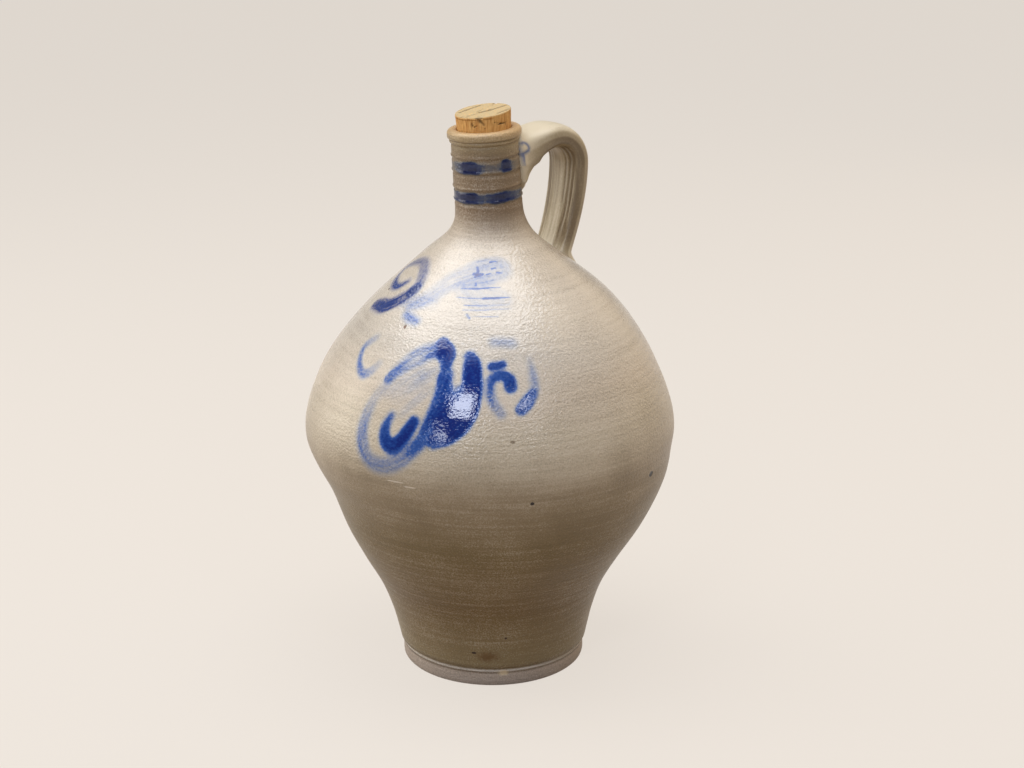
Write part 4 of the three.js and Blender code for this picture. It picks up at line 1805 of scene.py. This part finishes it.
@dataclass(frozen=True)
class Lamp:
    """A soft lamp that faces the bottle.

    The bearing is in degrees to the right of the front and the rise in degrees above level.
    Distance, width and height are metres, and power is watts.
    """

    name: str
    bearing: float
    rise: float
    distance: float
    width: float
    height: float
    power: float
    colour: str


@dataclass
class Studio:
    """A pale floor, soft lamps and the camera. The floor and the aim are in metres."""

    floor_colour: str = "#ebe3da"
    floor_shade: str = "#a39078"
    floor_width: float = 24.0
    floor_glow: float = 0.86
    world_colour: str = "#fffaf3"
    world_strength: float = 0.17
    camera_side: float = 14.8
    camera_back: float = 1137.0
    camera_height: float = 549.6
    camera_pitch: float = 17.34
    focal_pixels: float = 1756.6
    frame_pixels: float = 1024.0
    sensor: float = 36.0
    aim: Numbers = (0.0, 0.0, 0.22)
    lamps: tuple[Lamp, ...] = (
        Lamp("ceiling_panel", -104, 77, 1.6, 1.4, 2.4, 31.5, "#ffffff"),
        Lamp("left_wall", -100, 10, 1.8, 1.0, 0.9, 9.0, "#fff6e4"),
        Lamp("right_wall", 122, 18, 1.8, 2.0, 1.2, 5.8, "#ffdfae"),
        Lamp("right_lamp", 96, 50, 1.7, 1.2, 0.8, 3.2, "#ffe6c0"),
        Lamp("small_window", -18.7, 35.7, 1.7, 0.38, 0.34, 5.4, "#eaf1ff"),
        Lamp("small_window_right", 27.3, 34.6, 1.7, 0.24, 0.34, 2.4, "#eaf1ff"),
        Lamp("low_window", -29.5, 19.7, 1.7, 0.22, 0.15, 0.9, "#eaf1ff"),
        Lamp("front_panel", 0, 68, 1.7, 1.6, 0.6, 2.2, "#f4f7ff"),
        Lamp("left_window", -62, 34, 1.7, 0.6, 0.6, 1.5, "#e6efff"),
    )

    def floor(self) -> None:
        """Builds the floor, pale to the camera and duller to the bottle."""
        half = self.floor_width / 2
        mesh = bpy.data.meshes.new("studio_floor")
        places = [(-half, -half, 0), (half, -half, 0), (half, half, 0), (-half, half, 0)]
        mesh.from_pydata(places, [], [(0, 1, 2, 3)])
        material, put = new_material("Matt painted floor")
        path = put("LightPath").outputs
        seen = put("Math MAXIMUM", path["Is Camera Ray"], path["Is Glossy Ray"])
        seen = put("Math MAXIMUM", seen, path["Is Transmission Ray"])
        colour = put("Mix RGBA", seen, paint(self.floor_shade), paint(self.floor_colour))
        share = put("Math MULTIPLY", seen, self.floor_glow)
        shader = put("MixShader", share, put("BsdfDiffuse", colour), put("Emission", colour, 1.0))
        put("OutputMaterial", shader)
        mesh.materials.append(material)
        new_object("studio_floor", mesh)

    def light(self) -> None:
        """Hangs the lamps and tints the world."""
        for lamp in self.lamps:
            data = bpy.data.lights.new(lamp.name, "AREA")
            data.shape = "RECTANGLE"
            data.size, data.size_y = lamp.width, lamp.height
            data.energy = lamp.power
            data.color = paint(lamp.colour)[:3]
            turn = math.radians(FRONT_BEARING + lamp.bearing)
            rise = math.radians(lamp.rise)
            flat = math.cos(rise)
            way = Vector((math.cos(turn) * flat, math.sin(turn) * flat, math.sin(rise)))
            thing = new_object(lamp.name, data)
            thing.location = Vector(self.aim) + way * lamp.distance
            thing.rotation_euler = way.to_track_quat("Z", "Y").to_euler()
        world = bpy.data.worlds.new("Studio air")
        world.use_nodes = True
        world.node_tree.nodes.clear()
        air = add(world.node_tree, "Background", paint(self.world_colour), self.world_strength)
        add(world.node_tree, "OutputWorld", air)
        bpy.context.scene.world = world

    def camera(self) -> None:
        """Sets the camera at the photograph's viewing angle."""
        heading = math.radians(FRONT_BEARING + 180)
        forward = Vector((math.cos(heading), math.sin(heading), 0))
        right = Vector((forward.y, -forward.x, 0))
        data = bpy.data.cameras.new("camera")
        data.sensor_width = self.sensor
        data.lens = self.focal_pixels * self.sensor / self.frame_pixels
        camera = new_object("camera", data)
        camera.location = (right * self.camera_side - forward * self.camera_back) * MM
        camera.location.z = self.camera_height * MM
        camera.rotation_euler = (math.radians(90 - self.camera_pitch), 0, heading - math.pi / 2)
        bpy.context.scene.camera = camera

    def build(self) -> None:
        """Sets up the floor, the lamps, the camera and plain view settings."""
        self.floor()
        self.light()
        self.camera()
        bpy.context.scene.view_settings.view_transform = "Standard"


def dress(piece: Object, carrier: Carrier, node: str) -> None:
    """Ties a finished piece to the frame and reports it.

    Args:
        piece: The piece.
        carrier: The body that it rides on.
        node: The CAD node that it stands for.
    """
    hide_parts(node)
    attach(piece, carrier.value)
    piece.data.calc_loop_triangles()
    LOG.info("%s: %d triangles on %s", piece.name, len(piece.data.loop_triangles), carrier.value)


def main() -> None:
    """Builds the bottle, its studio and the camera."""
    logging.basicConfig(level=logging.INFO, format="%(name)s: %(message)s")
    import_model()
    body, handle, cork = ThrownBody(), PulledStrap(), PunchedCork()
    Studio().build()
    marks = tuple((Vector(body.settle(mark.bearing, mark.height)) * MM, mark) for mark in MARKS)
    vessel = body.build(SaltGlaze().material(marks))
    strap = handle.build(body, vessel, StrapGlaze().material())
    Brushwork().lay(vessel, strap, body)
    plug = cork.build(body, BarkCork().material())
    dress(vessel, Carrier.JUG, "vessel")
    dress(strap, Carrier.JUG, "handle")
    dress(plug, Carrier.CORK, "stopper")


if __name__ == "__main__":
    main()
